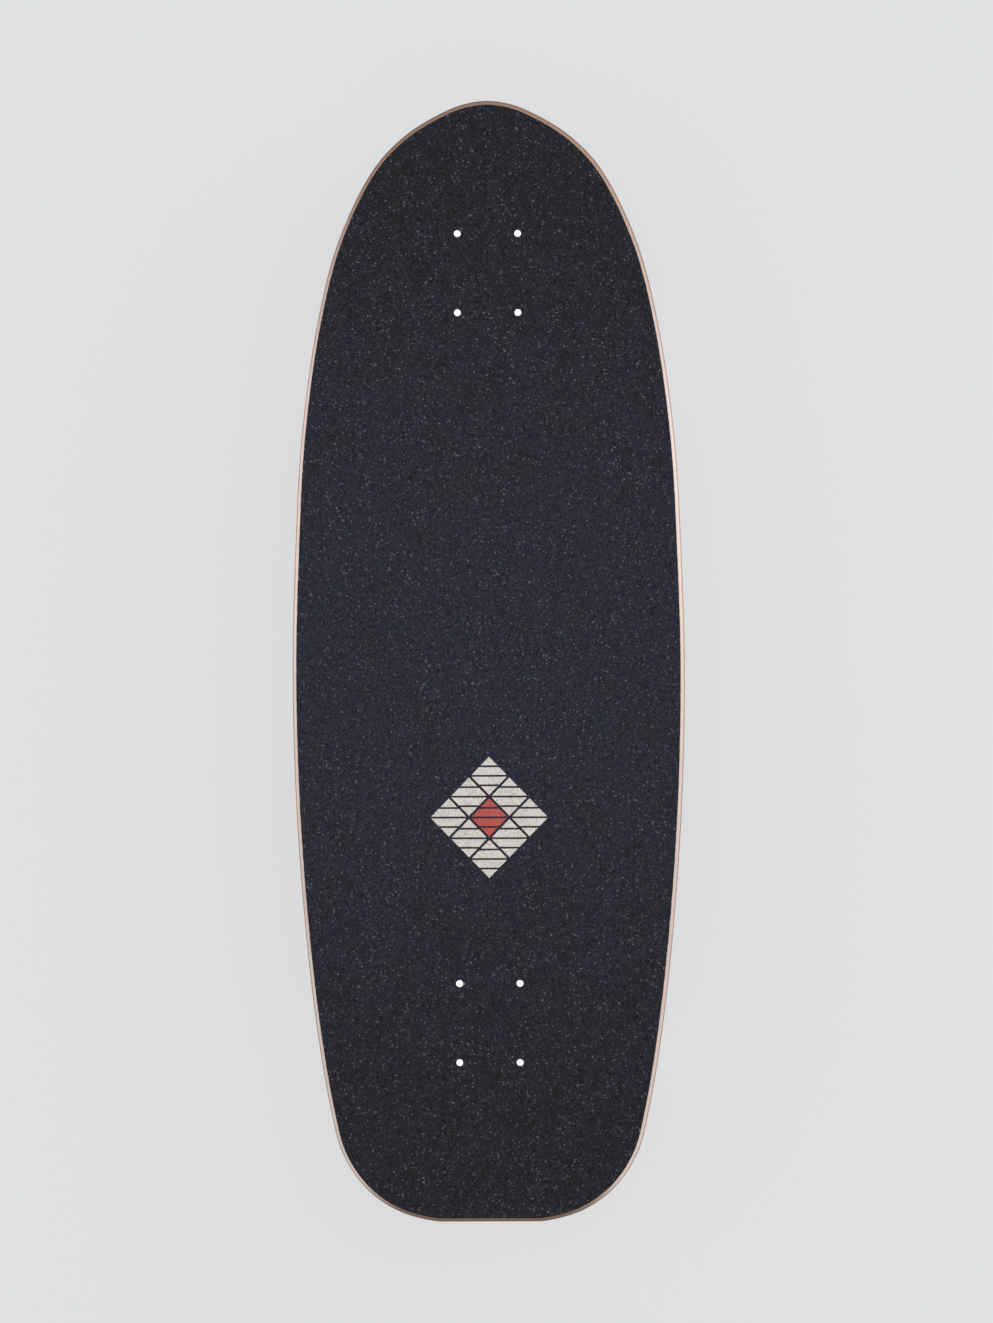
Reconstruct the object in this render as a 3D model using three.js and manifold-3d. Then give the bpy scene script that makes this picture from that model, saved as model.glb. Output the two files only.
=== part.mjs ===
// A surf skateboard: a bent seven-ply maple deck with grip tape, a spring-centred swivelling front truck,
// a rear truck on a riser, and four soft wheels on sealed bearings.
// Millimetres, +Z up, the nose towards +Y and the rider's right towards +X. The origin is on the ground,
// under the middle of the deck.

import * as THREE from "three";
import { mergeVertices } from "three/addons/utils/BufferGeometryUtils.js";
import { ConvexGeometry } from "three/addons/geometries/ConvexGeometry.js";
import Module from "manifold-3d";

const wasm = await Module();
wasm.setup();

// Deck, seen from above.
const deckLength = 764;
const deckWidth = 267.5;
const gripMargin = 3; // bare wood left round the grip tape

// Deck, through its thickness.
const plyCount = 7;
const plyThickness = 1.45;
const glueLine = 0.05;
const gripThickness = 0.9;
const edgeRadius = 3.2; // the rounded rail

// Deck, bent in the press.
const flatHalfWidth = 40; // the flat middle that the trucks seat on
const concaveRise = 7; // how far the rails stand above the flat middle
const tailKickAngle = THREE.MathUtils.degToRad(14);
const tailKickBend = 50; // length of the bend before the kick runs straight
const tailKickLength = 90;
const noseLiftAngle = THREE.MathUtils.degToRad(6);
const noseLiftBend = 60;
const noseLiftLength = 74;

// Truck bolt pattern and its two places.
const boltSpacingAcross = 41.28;
const boltSpacingAlong = 53.98;
const noseToFrontBolts = 117.4; // nose tip to the middle of the front pattern
const tailToRearBolts = 134.6; // tail end to the middle of the rear pattern

// Mounting bolts: countersunk heads under the grip tape, each with its lock nut.
const boltRadius = 2.4;
const boltHoleRadius = 2.85;
const boltHeadRadius = 4.6;
const boltHeadDepth = 2.7;
const boltSocketAcrossFlats = 3.2;
const boltSocketDepth = 1.3;
const boltTail = 1.6; // thread past the nut
const lockNutAcrossFlats = 9.5;
const lockNutHeight = 5.5;
const gripHoleRadius = 2.55;

// Wheels and bearings.
const wheelRadius = 33;
const wheelWidth = 51;
const treadWidth = 32;
const wheelLipDrop = 1.2; // the rounded lip's first corner, below the tread
const wheelLipInset = 4.6; // and in from the side face
const wheelShoulderDrop = 4.2; // its second corner
const wheelShoulderInset = 0.9;
const wheelFaceRadius = 24.5; // where the side face turns in towards the bearing
const wheelDishRadius = 20;
const wheelDishDepth = 2.5;
const bearingRadius = 11;
const bearingBoreRadius = 6.4;
const bearingWidth = 7;
const bearingShieldRadius = 9.4;
const bearingShieldDepth = 0.4;
const bearingSpacing = 10; // the wheel's flange between its two bearings
const flangeBoreRadius = 8.5;
const bearingMouth = 2.6; // how much wider than a bearing the dish ends
const sleeveRadius = 6;
const sleeveLip = 1; // the sleeve stands this far past each bearing

// Axles and their nuts.
const axleRadius = 3.95;
const axleNutAcrossFlats = 12.7;
const axleNutHeight = 6.5;
const axleTail = 1.9;

// Trucks: places are measured from the middle of the bolt pattern on the face that seats on the deck.
// Outset is towards the end of the board, drop is down from that face.
const hangerWidth = 149;
const truckHeight = 61.5; // seat face down to the axle
const axleOutset = 8;
const ringInset = 13; // the ring that the bushings clamp, towards the middle of the board
const ringDrop = 42;
const pivotOutset = 33; // tip of the hanger's pivot
const pivotDrop = 17;
const kingpinLean = THREE.MathUtils.degToRad(20);
const hangerEndRadius = 8;
const hangerHubRadius = 11;
const hangerHubHalfWidth = 16;
const hangerWebHalfWidth = 48;
const hangerWebEndRadius = 8.2;
const hangerWebTopRadius = 7;
const hangerWebTopDrop = 40;
const hangerWebTopOutset = 8;
const ringRadius = 17;
const ringThickness = 10;
const ringBoreRadius = 8.5;
const ringRim = 1.2; // the ring's rim stands this far past the seat of each bushing
const pivotBaseRadius = 8.5;
const pivotTipRadius = 4.8;
const pivotShoulder = 1.5; // the casting is this much wider than the pivot's base
const hangerTilt = THREE.MathUtils.degToRad(14); // how far the hanger tilts each way
const pivotLength = 19;
const pivotCupWall = 2.6;
const pivotCupBottom = 2.6;
const pivotCupLength = 17;
const pivotBossRadius = 12.5;
const pivotBossWall = 4.5; // metal behind the pivot cup
const kingpinRadius = 4.9;
const kingpinHeadAcrossFlats = 14.3;
const kingpinHeadHeight = 6;
const kingpinHeadRecessRadius = 9;
const kingpinBossRadius = 13;
const kingpinNutHeight = 7.5;
const kingpinTail = 2.8;
const bushingRadius = 12;
const bushingConeRadius = 9.6;
const boardBushingHeight = 13;
const roadBushingHeight = 11;
const cupWasherRadius = 11.6;
const cupWasherThickness = 1.6;
const cupWasherLip = 1.4;

// Rear baseplate and riser.
const baseplateWidth = 56;
const baseplateLength = 82;
const baseplateThickness = 6.5;
const plateCornerRadius = 9;
const riserThickness = 12.7;
const riserOverhang = 1; // the riser is this much larger than the plate on each side

// Front swivel: its axis leans forward at the top, so that leaning the deck steers the truck.
const swivelLean = THREE.MathUtils.degToRad(20);
const swivelAhead = 18.4; // axis ahead of the front bolt pattern, at the deck
const swivelPlateWidth = 58;
const swivelPlateLength = 88;
const swivelPlateThickness = 7;
const swivelToTruck = 62; // axis back to the truck's own middle, along the arm
const swivelBoltRadius = 6;
const swivelHeadAcrossFlats = 18;
const swivelHeadHeight = 6;
const swivelHeadTop = 4.2; // along the axis, below the deck
const swivelHeadRecessRadius = 11;
const swivelBossRadius = 16.5;
const springCollarRadius = 23;
const springCollarTop = 11.8;
const springCollarThickness = 4;
const bushFlangeThickness = 2;
const bushFlangeRadius = 15;
const bushWall = 2.6;
const armThickness = 9;
const armHubRadius = 21;
const armHubThickness = 13;
const armHubBossRadius = 16;
const armTailRadius = 17;
const swivelNutAcrossFlats = 19;
const swivelNutHeight = 9;
const swivelBoltTail = 2;

// Centering spring: a torsion coil round the swivel boss, each end against a lug.
const springRadius = 20.6; // to the middle of the wire
const springWire = 4;
const springTurns = 3.25;
const springStepsPerTurn = 8;
const springWireSides = 5;
const lugWidth = 6;
const lugHeight = 5;
const lugOuterRadius = 23.5;

// Fits.
const clearance = 0.3; // between pieces that seat on each other
const overrun = 30; // how far a cutting tool runs past what it cuts

// Facets round each kind of turned piece.
const boltSides = 8;
const pinSides = 12;
const wheelSides = 20;
const castSides = 10;

const weldShare = 1e-6; // points this close, as a share of the deck's length, are one point

// Levels worked out from the sizes above.
const deckUnderside = wheelRadius + truckHeight + riserThickness;
const plyPitch = plyThickness + glueLine;
const deckThickness = plyCount * plyPitch - glueLine;
const deckTop = deckUnderside + deckThickness;
const frontBoltsY = deckLength / 2 - noseToFrontBolts;
const rearBoltsY = tailToRearBolts - deckLength / 2;

const finish = {
  grip: { color: 0x2a2b33, roughness: 0.95, metalness: 0 },
  maple: { color: 0xd9b48f, roughness: 0.55, metalness: 0 },
  zinc: { color: 0xc9ccd0, roughness: 0.35, metalness: 1 },
  castAlloy: { color: 0xa9abae, roughness: 0.45, metalness: 1 },
  blackAlloy: { color: 0x1c1d20, roughness: 0.5, metalness: 0.6 },
  steel: { color: 0x8f9296, roughness: 0.3, metalness: 1 },
  bronze: { color: 0xb08a4c, roughness: 0.4, metalness: 1 },
  springSteel: { color: 0xb23a32, roughness: 0.4, metalness: 0.2 },
  wheel: { color: 0xe8e4da, roughness: 0.5, metalness: 0 },
  bushing: { color: 0xa8433c, roughness: 0.5, metalness: 0 },
  blackRubber: { color: 0x1a1a1b, roughness: 0.8, metalness: 0 },
};

// A closed geometry as a solid that can be joined and cut.
function solid(geometry) {
  const bare = geometry.clone();
  bare.deleteAttribute("normal");
  bare.deleteAttribute("uv");
  const welded = mergeVertices(bare, weldShare * deckLength);
  const points = welded.attributes.position.array;
  const index = welded.index.array;
  const faces = [];
  for (let i = 0; i < index.length; i += 3) {
    const [a, b, c] = index.slice(i, i + 3);
    if (a !== b && b !== c && c !== a) faces.push(a, b, c);
  }
  if (signedVolume(points, faces) < 0) {
    for (let i = 0; i < faces.length; i += 3) [faces[i + 1], faces[i + 2]] = [faces[i + 2], faces[i + 1]];
  }
  const mesh = new wasm.Mesh({ numProp: 3, vertProperties: points, triVerts: new Uint32Array(faces) });
  return new wasm.Manifold(mesh);
}

function signedVolume(points, faces) {
  const [a, b, c] = [new THREE.Vector3(), new THREE.Vector3(), new THREE.Vector3()];
  let total = 0;
  for (let i = 0; i < faces.length; i += 3) {
    a.fromArray(points, faces[i] * 3);
    b.fromArray(points, faces[i + 1] * 3);
    c.fromArray(points, faces[i + 2] * 3);
    total += a.dot(b.cross(c));
  }
  return total;
}

// A joined or cut solid as a three.js geometry.
function geometryOf(made) {
  const mesh = made.getMesh();
  const stride = mesh.numProp;
  const points = new Float32Array(mesh.numVert * 3);
  for (let i = 0; i < mesh.numVert; i++) {
    points.set(mesh.vertProperties.subarray(i * stride, i * stride + 3), i * 3);
  }
  const geometry = new THREE.BufferGeometry();
  geometry.setAttribute("position", new THREE.BufferAttribute(points, 3));
  geometry.setIndex(new THREE.BufferAttribute(mesh.triVerts, 1));
  return geometry;
}

function joined(parts) {
  return parts.reduce((all, part) => all.add(part));
}

function cut(whole, tools) {
  return tools.reduce((rest, tool) => rest.subtract(tool), whole);
}

const upwards = new THREE.Vector3(0, 0, 1);
const acrossBoard = new THREE.Vector3(1, 0, 0);

// A place or direction in the upright plane along the board.
function inPlane(y, z) {
  return new THREE.Vector3(0, y, z);
}

// The turn that brings +Z onto a direction.
function turnTo(direction) {
  return new THREE.Quaternion().setFromUnitVectors(upwards, direction.clone().normalize());
}

// Turns and moves a geometry whose own axis is +Z so that it starts at a point and runs along a direction.
function along(geometry, start, direction) {
  const turn = turnTo(direction);
  return geometry.applyQuaternion(turn).translate(start.x, start.y, start.z);
}

// A turned piece: its outline is given as [radius, height] pairs, its axis is +Z.
// Half a facet of turn puts a flat, not a corner, on each side.
function turned(outline, sides) {
  const points = outline.map(([radius, height]) => new THREE.Vector2(radius, height));
  return new THREE.LatheGeometry(points, sides, Math.PI / sides).rotateX(Math.PI / 2);
}

function rod(radius, length, sides) {
  return turned([[0, 0], [radius, 0], [radius, length], [0, length]], sides);
}

function ring(inner, outer, length, sides) {
  return turned([[inner, 0], [outer, 0], [outer, length], [inner, length], [inner, 0]], sides);
}

// A six-sided prism along +Z, as a bolt head or a nut.
function hexagon(acrossFlats, height) {
  return rod(acrossFlats / 2 / Math.cos(Math.PI / 6), height, 6);
}

// Points of a circle round a place, square to a direction.
function circlePoints(centre, direction, radius, sides) {
  const turn = turnTo(direction);
  return Array.from({ length: sides }, (_, i) => {
    const angle = ((i + 0.5) / sides) * 2 * Math.PI;
    const spoke = new THREE.Vector3(Math.cos(angle) * radius, Math.sin(angle) * radius, 0);
    return spoke.applyQuaternion(turn).add(centre);
  });
}

// The skin stretched over a few circles, as on a casting.
function skinOver(pointLists) {
  return solid(new ConvexGeometry(pointLists.flat()));
}

function mesh(name, made, look, group) {
  const geometry = geometryOf(made);
  geometry.computeVertexNormals();
  const piece = new THREE.Mesh(geometry, new THREE.MeshStandardMaterial(finish[look]));
  piece.name = name;
  group.add(piece);
  return piece;
}

// The deck's outline on the rider's right, from nose to tail: shares of the half width and of the length.
const outlineShares = [
  [0.112, 0.0026],
  [0.2238, 0.01],
  [0.4137, 0.03],
  [0.5777, 0.06],
  [0.7604, 0.125],
  [0.8704, 0.2],
  [0.9507, 0.3],
  [0.9839, 0.4],
  [1, 0.515],
  [0.9772, 0.65],
  [0.9025, 0.8],
  [0.8135, 0.9],
  [0.7513, 0.94],
  [0.6351, 0.97],
  [0.4734, 0.99],
  [0.26, 1],
];

// The closed outline as a smooth curve through those points and their mirror images.
function outlineCurve() {
  const place = ([across, down], side) =>
    new THREE.Vector3((side * across * deckWidth) / 2, deckLength / 2 - down * deckLength, 0);
  const right = outlineShares.map((share) => place(share, 1));
  const left = outlineShares.map((share) => place(share, -1)).reverse();
  const nose = place([0, 0], 1);
  const tail = place([0, 1], 1);
  return new THREE.CatmullRomCurve3([nose, ...right, tail, ...left], true, "centripetal");
}

const outline = outlineCurve();

// The outline moved inwards by an even margin, as an upright prism.
function outlinePrism(inset) {
  const steps = outline.points.length;
  const spans = outline.points.length;
  const samples = [];
  for (let span = 0; span < spans; span++) {
    const from = outline.points[span];
    const to = outline.points[(span + 1) % spans];
    const pieces = from.distanceTo(to) > deckLength / steps ? 2 : 1;
    for (let i = 0; i < pieces; i++) samples.push((span + i / pieces) / spans);
  }
  const shape = new THREE.Shape(
    samples.map((at) => {
      const point = outline.getPoint(at);
      const forward = outline.getTangent(at);
      return new THREE.Vector2(point.x + forward.y * inset, point.y - forward.x * inset);
    }),
  );
  const depth = deckTop + deckLength;
  return solid(new THREE.ExtrudeGeometry(shape, { depth, bevelEnabled: false }));
}

// A bend that starts level, curves for a while and then runs straight.
function bend(distance, angle, curve) {
  const slope = Math.tan(angle);
  if (distance <= 0) return 0;
  return distance < curve ? (slope * distance * distance) / (2 * curve) : slope * (distance - curve / 2);
}

// Height of the pressed deck above its flat middle.
function deckRise(x, y) {
  const rail = Math.max(0, Math.abs(x) - flatHalfWidth) / (deckWidth / 2 - flatHalfWidth);
  const tail = bend(tailKickLength - deckLength / 2 - y, tailKickAngle, tailKickBend);
  const nose = bend(y - deckLength / 2 + noseLiftLength, noseLiftAngle, noseLiftBend);
  return concaveRise * rail * rail + tail + nose;
}

// Lines across and along the deck between which it is flat.
function bendLines() {
  const railSteps = 3;
  const tailSteps = 3;
  const noseSteps = 2;
  const railLine = (i) => flatHalfWidth + (i / railSteps) * (deckWidth / 2 - flatHalfWidth);
  const rails = Array.from({ length: railSteps + 1 }, (_, i) => railLine(i));
  const tailStart = tailKickLength - deckLength / 2;
  const noseStart = deckLength / 2 - noseLiftLength;
  const tail = Array.from({ length: tailSteps + 1 }, (_, i) => tailStart - (i / tailSteps) * tailKickBend);
  const nose = Array.from({ length: noseSteps + 1 }, (_, i) => noseStart + (i / noseSteps) * noseLiftBend);
  return {
    across: [...rails.map((x) => -x).reverse(), ...rails],
    along: [-deckLength / 2, ...tail.reverse(), ...nose, deckLength / 2],
  };
}

// A sheet of even upright thickness that follows the pressed deck, over its whole length and width.
function pressedSheet(underside, thickness) {
  const { across, along: down } = bendLines();
  const columns = across.length;
  const points = [];
  for (const level of [underside, underside + thickness]) {
    for (const y of down) for (const x of across) points.push(x, y, level + deckRise(x, y));
  }
  const layer = columns * down.length;
  const at = (i, j, top) => top * layer + j * columns + i;
  const faces = [];
  const quad = (a, b, c, d) => faces.push(a, b, c, a, c, d);
  for (let j = 0; j + 1 < down.length; j++) {
    for (let i = 0; i + 1 < columns; i++) {
      quad(at(i, j, 1), at(i + 1, j, 1), at(i + 1, j + 1, 1), at(i, j + 1, 1));
      quad(at(i, j, 0), at(i, j + 1, 0), at(i + 1, j + 1, 0), at(i + 1, j, 0));
    }
    quad(at(0, j, 0), at(0, j, 1), at(0, j + 1, 1), at(0, j + 1, 0));
    quad(at(columns - 1, j, 0), at(columns - 1, j + 1, 0), at(columns - 1, j + 1, 1), at(columns - 1, j, 1));
  }
  const last = down.length - 1;
  for (let i = 0; i + 1 < columns; i++) {
    quad(at(i, 0, 0), at(i + 1, 0, 0), at(i + 1, 0, 1), at(i, 0, 1));
    quad(at(i, last, 0), at(i, last, 1), at(i + 1, last, 1), at(i + 1, last, 0));
  }
  const geometry = new THREE.BufferGeometry();
  geometry.setAttribute("position", new THREE.BufferAttribute(new Float32Array(points), 3));
  geometry.setIndex(faces);
  return solid(geometry);
}

// The four bolt places of a pattern, as [x, y].
function boltPlaces(middleY) {
  const [x, y] = [boltSpacingAcross / 2, boltSpacingAlong / 2];
  return [[-x, middleY + y], [x, middleY + y], [-x, middleY - y], [x, middleY - y]];
}

// Upright holes at each of a list of places.
function holesAt(places, radius, bottom, top) {
  return places.map(([x, y]) => solid(rod(radius, top - bottom, boltSides).translate(x, y, bottom)));
}

// How far a ply's edge is drawn in, so that the stack makes a rounded rail.
function railInset(index) {
  const middle = (index + 0.5) * plyPitch;
  const fromFace = Math.min(middle, deckThickness - middle);
  const inRound = Math.max(0, edgeRadius - fromFace);
  return edgeRadius - Math.sqrt(edgeRadius * edgeRadius - inRound * inRound);
}

// Seven plies, counted from the top, and the grip tape.
function buildDeck(group) {
  const places = [...boltPlaces(frontBoltsY), ...boltPlaces(rearBoltsY)];
  const holes = holesAt(places, boltHoleRadius, deckUnderside - overrun, deckTop + overrun);
  const sinkRadius = boltHeadRadius + clearance;
  const sinkDepth = ((sinkRadius - boltHoleRadius) * boltHeadDepth) / (boltHeadRadius - boltRadius);
  const sinkOutline = [
    [0, -overrun],
    [boltHoleRadius, -overrun],
    [boltHoleRadius, -sinkDepth],
    [sinkRadius, 0],
    [sinkRadius, overrun],
    [0, overrun],
  ];
  const sinks = places.map(([x, y]) => solid(turned(sinkOutline, boltSides).translate(x, y, deckTop)));
  for (let i = 0; i < plyCount; i++) {
    const underside = deckTop - (i + 1) * plyPitch + glueLine;
    const sheet = pressedSheet(underside, plyThickness).intersect(outlinePrism(railInset(i)));
    const reached = i * plyPitch < sinkDepth;
    mesh(`maple_ply_${i + 1}`, cut(sheet, reached ? sinks : holes), "maple", group);
  }
  const gripHoles = holesAt(places, gripHoleRadius, deckTop - overrun, deckTop + overrun);
  const grip = pressedSheet(deckTop + glueLine, gripThickness).intersect(outlinePrism(gripMargin));
  mesh("grip_tape", cut(grip, gripHoles), "grip", group);
}

// One countersunk bolt with its lock nut under a metal plate.
function mountingBolt(plateUnderside) {
  const top = deckTop - glueLine;
  const nutTop = plateUnderside - clearance;
  const nutBottom = nutTop - lockNutHeight;
  const bolt = turned(
    [
      [0, nutBottom - boltTail],
      [boltRadius, nutBottom - boltTail],
      [boltRadius, top - boltHeadDepth],
      [boltHeadRadius, top],
      [0, top],
    ],
    boltSides,
  );
  const nut = hexagon(lockNutAcrossFlats, lockNutHeight).translate(0, 0, nutBottom);
  const socketHeight = boltSocketDepth + clearance;
  const socket = hexagon(boltSocketAcrossFlats, socketHeight).translate(0, 0, top - boltSocketDepth);
  return solid(bolt).add(solid(nut)).subtract(solid(socket));
}

function buildBolts(group) {
  const sets = [
    ["front_bolt", frontBoltsY, deckUnderside - swivelPlateThickness],
    ["rear_bolt", rearBoltsY, deckUnderside - riserThickness - baseplateThickness],
  ];
  for (const [name, middleY, plateUnderside] of sets) {
    boltPlaces(middleY).forEach(([x, y], i) => {
      mesh(`${name}_${i + 1}`, mountingBolt(plateUnderside), "zinc", group).position.set(x, y, 0);
    });
  }
}

// A flat plate with rounded corners and the bolt pattern's holes, centred on the pattern, its top at z = 0.
function boltedPlate(width, length, thickness) {
  const [x, y] = [width / 2, length / 2];
  const corners = [[x, y, 0], [-x, y, 1], [-x, -y, 2], [x, -y, 3]];
  const shape = new THREE.Shape();
  corners.forEach(([cornerX, cornerY, quarter]) => {
    const centreX = cornerX - Math.sign(cornerX) * plateCornerRadius;
    const centreY = cornerY - Math.sign(cornerY) * plateCornerRadius;
    const start = (quarter * Math.PI) / 2;
    shape.absarc(centreX, centreY, plateCornerRadius, start, start + Math.PI / 2, false);
  });
  const plate = new THREE.ExtrudeGeometry(shape, { depth: thickness, bevelEnabled: false, curveSegments: 3 });
  const holes = holesAt(boltPlaces(0), boltHoleRadius, -thickness - overrun, overrun);
  return { blank: solid(plate.translate(0, 0, -thickness)), holes };
}

// Places and directions of a truck, in its own frame: +Y to the end of the board, z = 0 on the seat face.
const ringCentre = inPlane(-ringInset, -ringDrop);
const pivotTip = inPlane(pivotOutset, -pivotDrop);
const axleCentre = inPlane(axleOutset, -truckHeight);
const pivotDirection = pivotTip.clone().sub(ringCentre).normalize();
const kingpinDirection = inPlane(-Math.sin(kingpinLean), -Math.cos(kingpinLean)); // downwards
const pivotReach = pivotTip.distanceTo(ringCentre);

// A place on the kingpin's axis, counted down from the middle of the ring.
function onKingpin(distance) {
  return ringCentre.clone().addScaledVector(kingpinDirection, distance);
}

// A place on the hanger's pivot axis, counted outwards from the middle of the ring.
function onPivot(distance) {
  return ringCentre.clone().addScaledVector(pivotDirection, distance);
}

const boardBushingTop = -ringThickness / 2 - clearance - boardBushingHeight;
const kingpinSeat = boardBushingTop - clearance;
// The head sits as high as it can without standing proud of the seat face.
const kingpinHeadCorner = kingpinHeadAcrossFlats / 2 / Math.cos(Math.PI / 6);
const kingpinHeadTop =
  (kingpinHeadCorner * Math.sin(kingpinLean) + clearance - ringDrop) / Math.cos(kingpinLean);
const roadBushingTop = ringThickness / 2 + clearance;
const cupWasherTop = roadBushingTop + roadBushingHeight + clearance;
const kingpinNutTop = cupWasherTop + cupWasherThickness + clearance;
const kingpinEnd = kingpinNutTop + kingpinNutHeight + kingpinTail;
const pivotCupEnd = pivotReach + pivotCupBottom;
const pivotCupStart = pivotCupEnd - pivotCupLength;
const pivotCupRadius = pivotRadiusAt(pivotCupStart) + clearance + pivotCupWall;

// Radius of the hanger's tapered pivot at a distance from the ring.
function pivotRadiusAt(distance) {
  const share = (pivotReach - distance) / pivotLength;
  return pivotTipRadius + share * (pivotBaseRadius - pivotTipRadius);
}

// The castings that hold a kingpin and a pivot cup under a plate, and the cuts for both.
function truckSeats(plateThickness) {
  const middle = plateThickness / 2;
  const plateSpot = onKingpin((middle - ringDrop) / Math.cos(kingpinLean));
  const kingpinBoss = skinOver([
    circlePoints(onKingpin(kingpinSeat), kingpinDirection, kingpinBossRadius, castSides),
    circlePoints(plateSpot, upwards, kingpinBossRadius, castSides),
  ]);
  const bossStart = onPivot(pivotCupStart);
  const bossEnd = onPivot(pivotCupEnd + pivotBossWall);
  const root = inPlane((bossStart.y + bossEnd.y) / 2, -middle);
  const pivotBoss = skinOver([
    circlePoints(bossStart, pivotDirection, pivotBossRadius, castSides),
    circlePoints(bossEnd, pivotDirection, pivotBossRadius, castSides),
    circlePoints(root, upwards, pivotBossRadius, castSides),
  ]);
  const up = kingpinDirection.clone().negate();
  const headSeat = onKingpin(kingpinHeadTop + kingpinHeadHeight + clearance);
  const shank = rod(kingpinRadius + clearance, overrun - kingpinHeadTop, pinSides);
  const recess = rod(kingpinHeadRecessRadius, overrun, pinSides);
  const cupBore = rod(pivotCupRadius + clearance, pivotCupLength + clearance + overrun, pinSides);
  return {
    bosses: [kingpinBoss, pivotBoss],
    cuts: [
      solid(along(shank, onKingpin(0), up)),
      solid(along(recess, headSeat, up)),
      solid(along(cupBore, onPivot(pivotCupEnd + clearance), pivotDirection.clone().negate())),
    ],
  };
}

function buildRearBase(truck) {
  const { blank, holes } = boltedPlate(baseplateWidth, baseplateLength, baseplateThickness);
  const { bosses, cuts } = truckSeats(baseplateThickness);
  mesh("rear_baseplate", cut(joined([blank, ...bosses]), [...holes, ...cuts]), "castAlloy", truck);
  const riserWidth = baseplateWidth + 2 * riserOverhang;
  const riserLength = baseplateLength + 2 * riserOverhang;
  const riser = boltedPlate(riserWidth, riserLength, riserThickness);
  mesh("rear_riser", cut(riser.blank, riser.holes), "blackRubber", truck).position.z = riserThickness;
}

// Room inside the hanger for the cup washer, which swings sideways in it when the hanger tilts.
function washerRoomRadius() {
  const washerBottom = cupWasherTop + cupWasherThickness;
  const swing = kingpinDirection.clone().cross(pivotDirection).length() * Math.sin(hangerTilt);
  return (cupWasherRadius + washerBottom * swing + 2 * clearance) / Math.cos(Math.PI / castSides);
}

// The hanger casting: a hub on the axle, two tapering arms, a web, the bushing ring and the pivot.
function hangerSolid() {
  const up = kingpinDirection.clone().negate();
  const onAxle = (x) => axleCentre.clone().setX(x);
  const disc = (x, radius) => circlePoints(onAxle(x), acrossBoard, radius, castSides);
  const hub = [disc(-hangerHubHalfWidth, hangerHubRadius), disc(hangerHubHalfWidth, hangerHubRadius)];
  const ringFaces = [-1, 1].map((side) => {
    const face = onKingpin(side * (ringThickness / 2 + ringRim));
    return circlePoints(face, kingpinDirection, ringRadius, castSides);
  });
  const pivotBase = onPivot(pivotReach - pivotLength);
  const neckEnd = onPivot(pivotReach - pivotLength - pivotShoulder);
  const neck = circlePoints(neckEnd, pivotDirection, pivotBaseRadius + pivotShoulder, castSides);
  const webTop = inPlane(hangerWebTopOutset, -hangerWebTopDrop);
  const webTopDisc = circlePoints(webTop, acrossBoard, hangerWebTopRadius, castSides);
  const arms = [-1, 1].map((side) => {
    const root = disc(side * hangerHubHalfWidth, hangerHubRadius);
    return skinOver([root, disc((side * hangerWidth) / 2, hangerEndRadius)]);
  });
  const webEnds = [-1, 1].map((side) => disc(side * hangerWebHalfWidth, hangerWebEndRadius));
  const body = joined([
    skinOver([...hub, ...ringFaces]),
    skinOver([...hub, neck]),
    skinOver([...webEnds, webTopDisc]),
    ...arms,
  ]);
  const room = kingpinBossRadius + 2 * clearance;
  const above = along(rod(room, overrun, castSides), onKingpin(-ringThickness / 2), up);
  const below = along(rod(room, overrun, castSides), onKingpin(ringThickness / 2), kingpinDirection);
  const rimEnd = onKingpin(ringThickness / 2 + ringRim + clearance);
  const washerRoom = along(rod(washerRoomRadius(), overrun, castSides), rimEnd, kingpinDirection);
  const pivot = turned(
    [
      [0, -hangerHubRadius],
      [pivotBaseRadius, -hangerHubRadius],
      [pivotBaseRadius, 0],
      [pivotTipRadius, pivotLength],
      [0, pivotLength],
    ],
    castSides,
  );
  const rooms = [above, below, washerRoom].map(solid);
  const whole = cut(body, rooms).add(solid(along(pivot, pivotBase, pivotDirection)));
  const ringBore = rod(ringBoreRadius, ringThickness + 2 * overrun, pinSides);
  const axleBore = rod(axleRadius + clearance, hangerWidth + 2 * overrun, pinSides);
  return cut(whole, [
    solid(along(ringBore, onKingpin(-ringThickness / 2 - overrun), kingpinDirection)),
    solid(along(axleBore, onAxle(-hangerWidth / 2 - overrun), acrossBoard)),
  ]);
}

// Distances across the board, from the middle of the axle outwards.
const sleeveStart = hangerWidth / 2 + clearance;
const sleeveLength = 2 * sleeveLip + 2 * bearingWidth + bearingSpacing;
const wheelCentreX = sleeveStart + sleeveLength / 2;
const axleNutStart = sleeveStart + sleeveLength + clearance;
const axleHalfLength = axleNutStart + axleNutHeight + axleTail;

// Which side of a truck's own frame is the board's left and right: the rear truck is turned round.
const sides = {
  front: [[-1, "left"], [1, "right"]],
  rear: [[1, "left"], [-1, "right"]],
};

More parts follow.
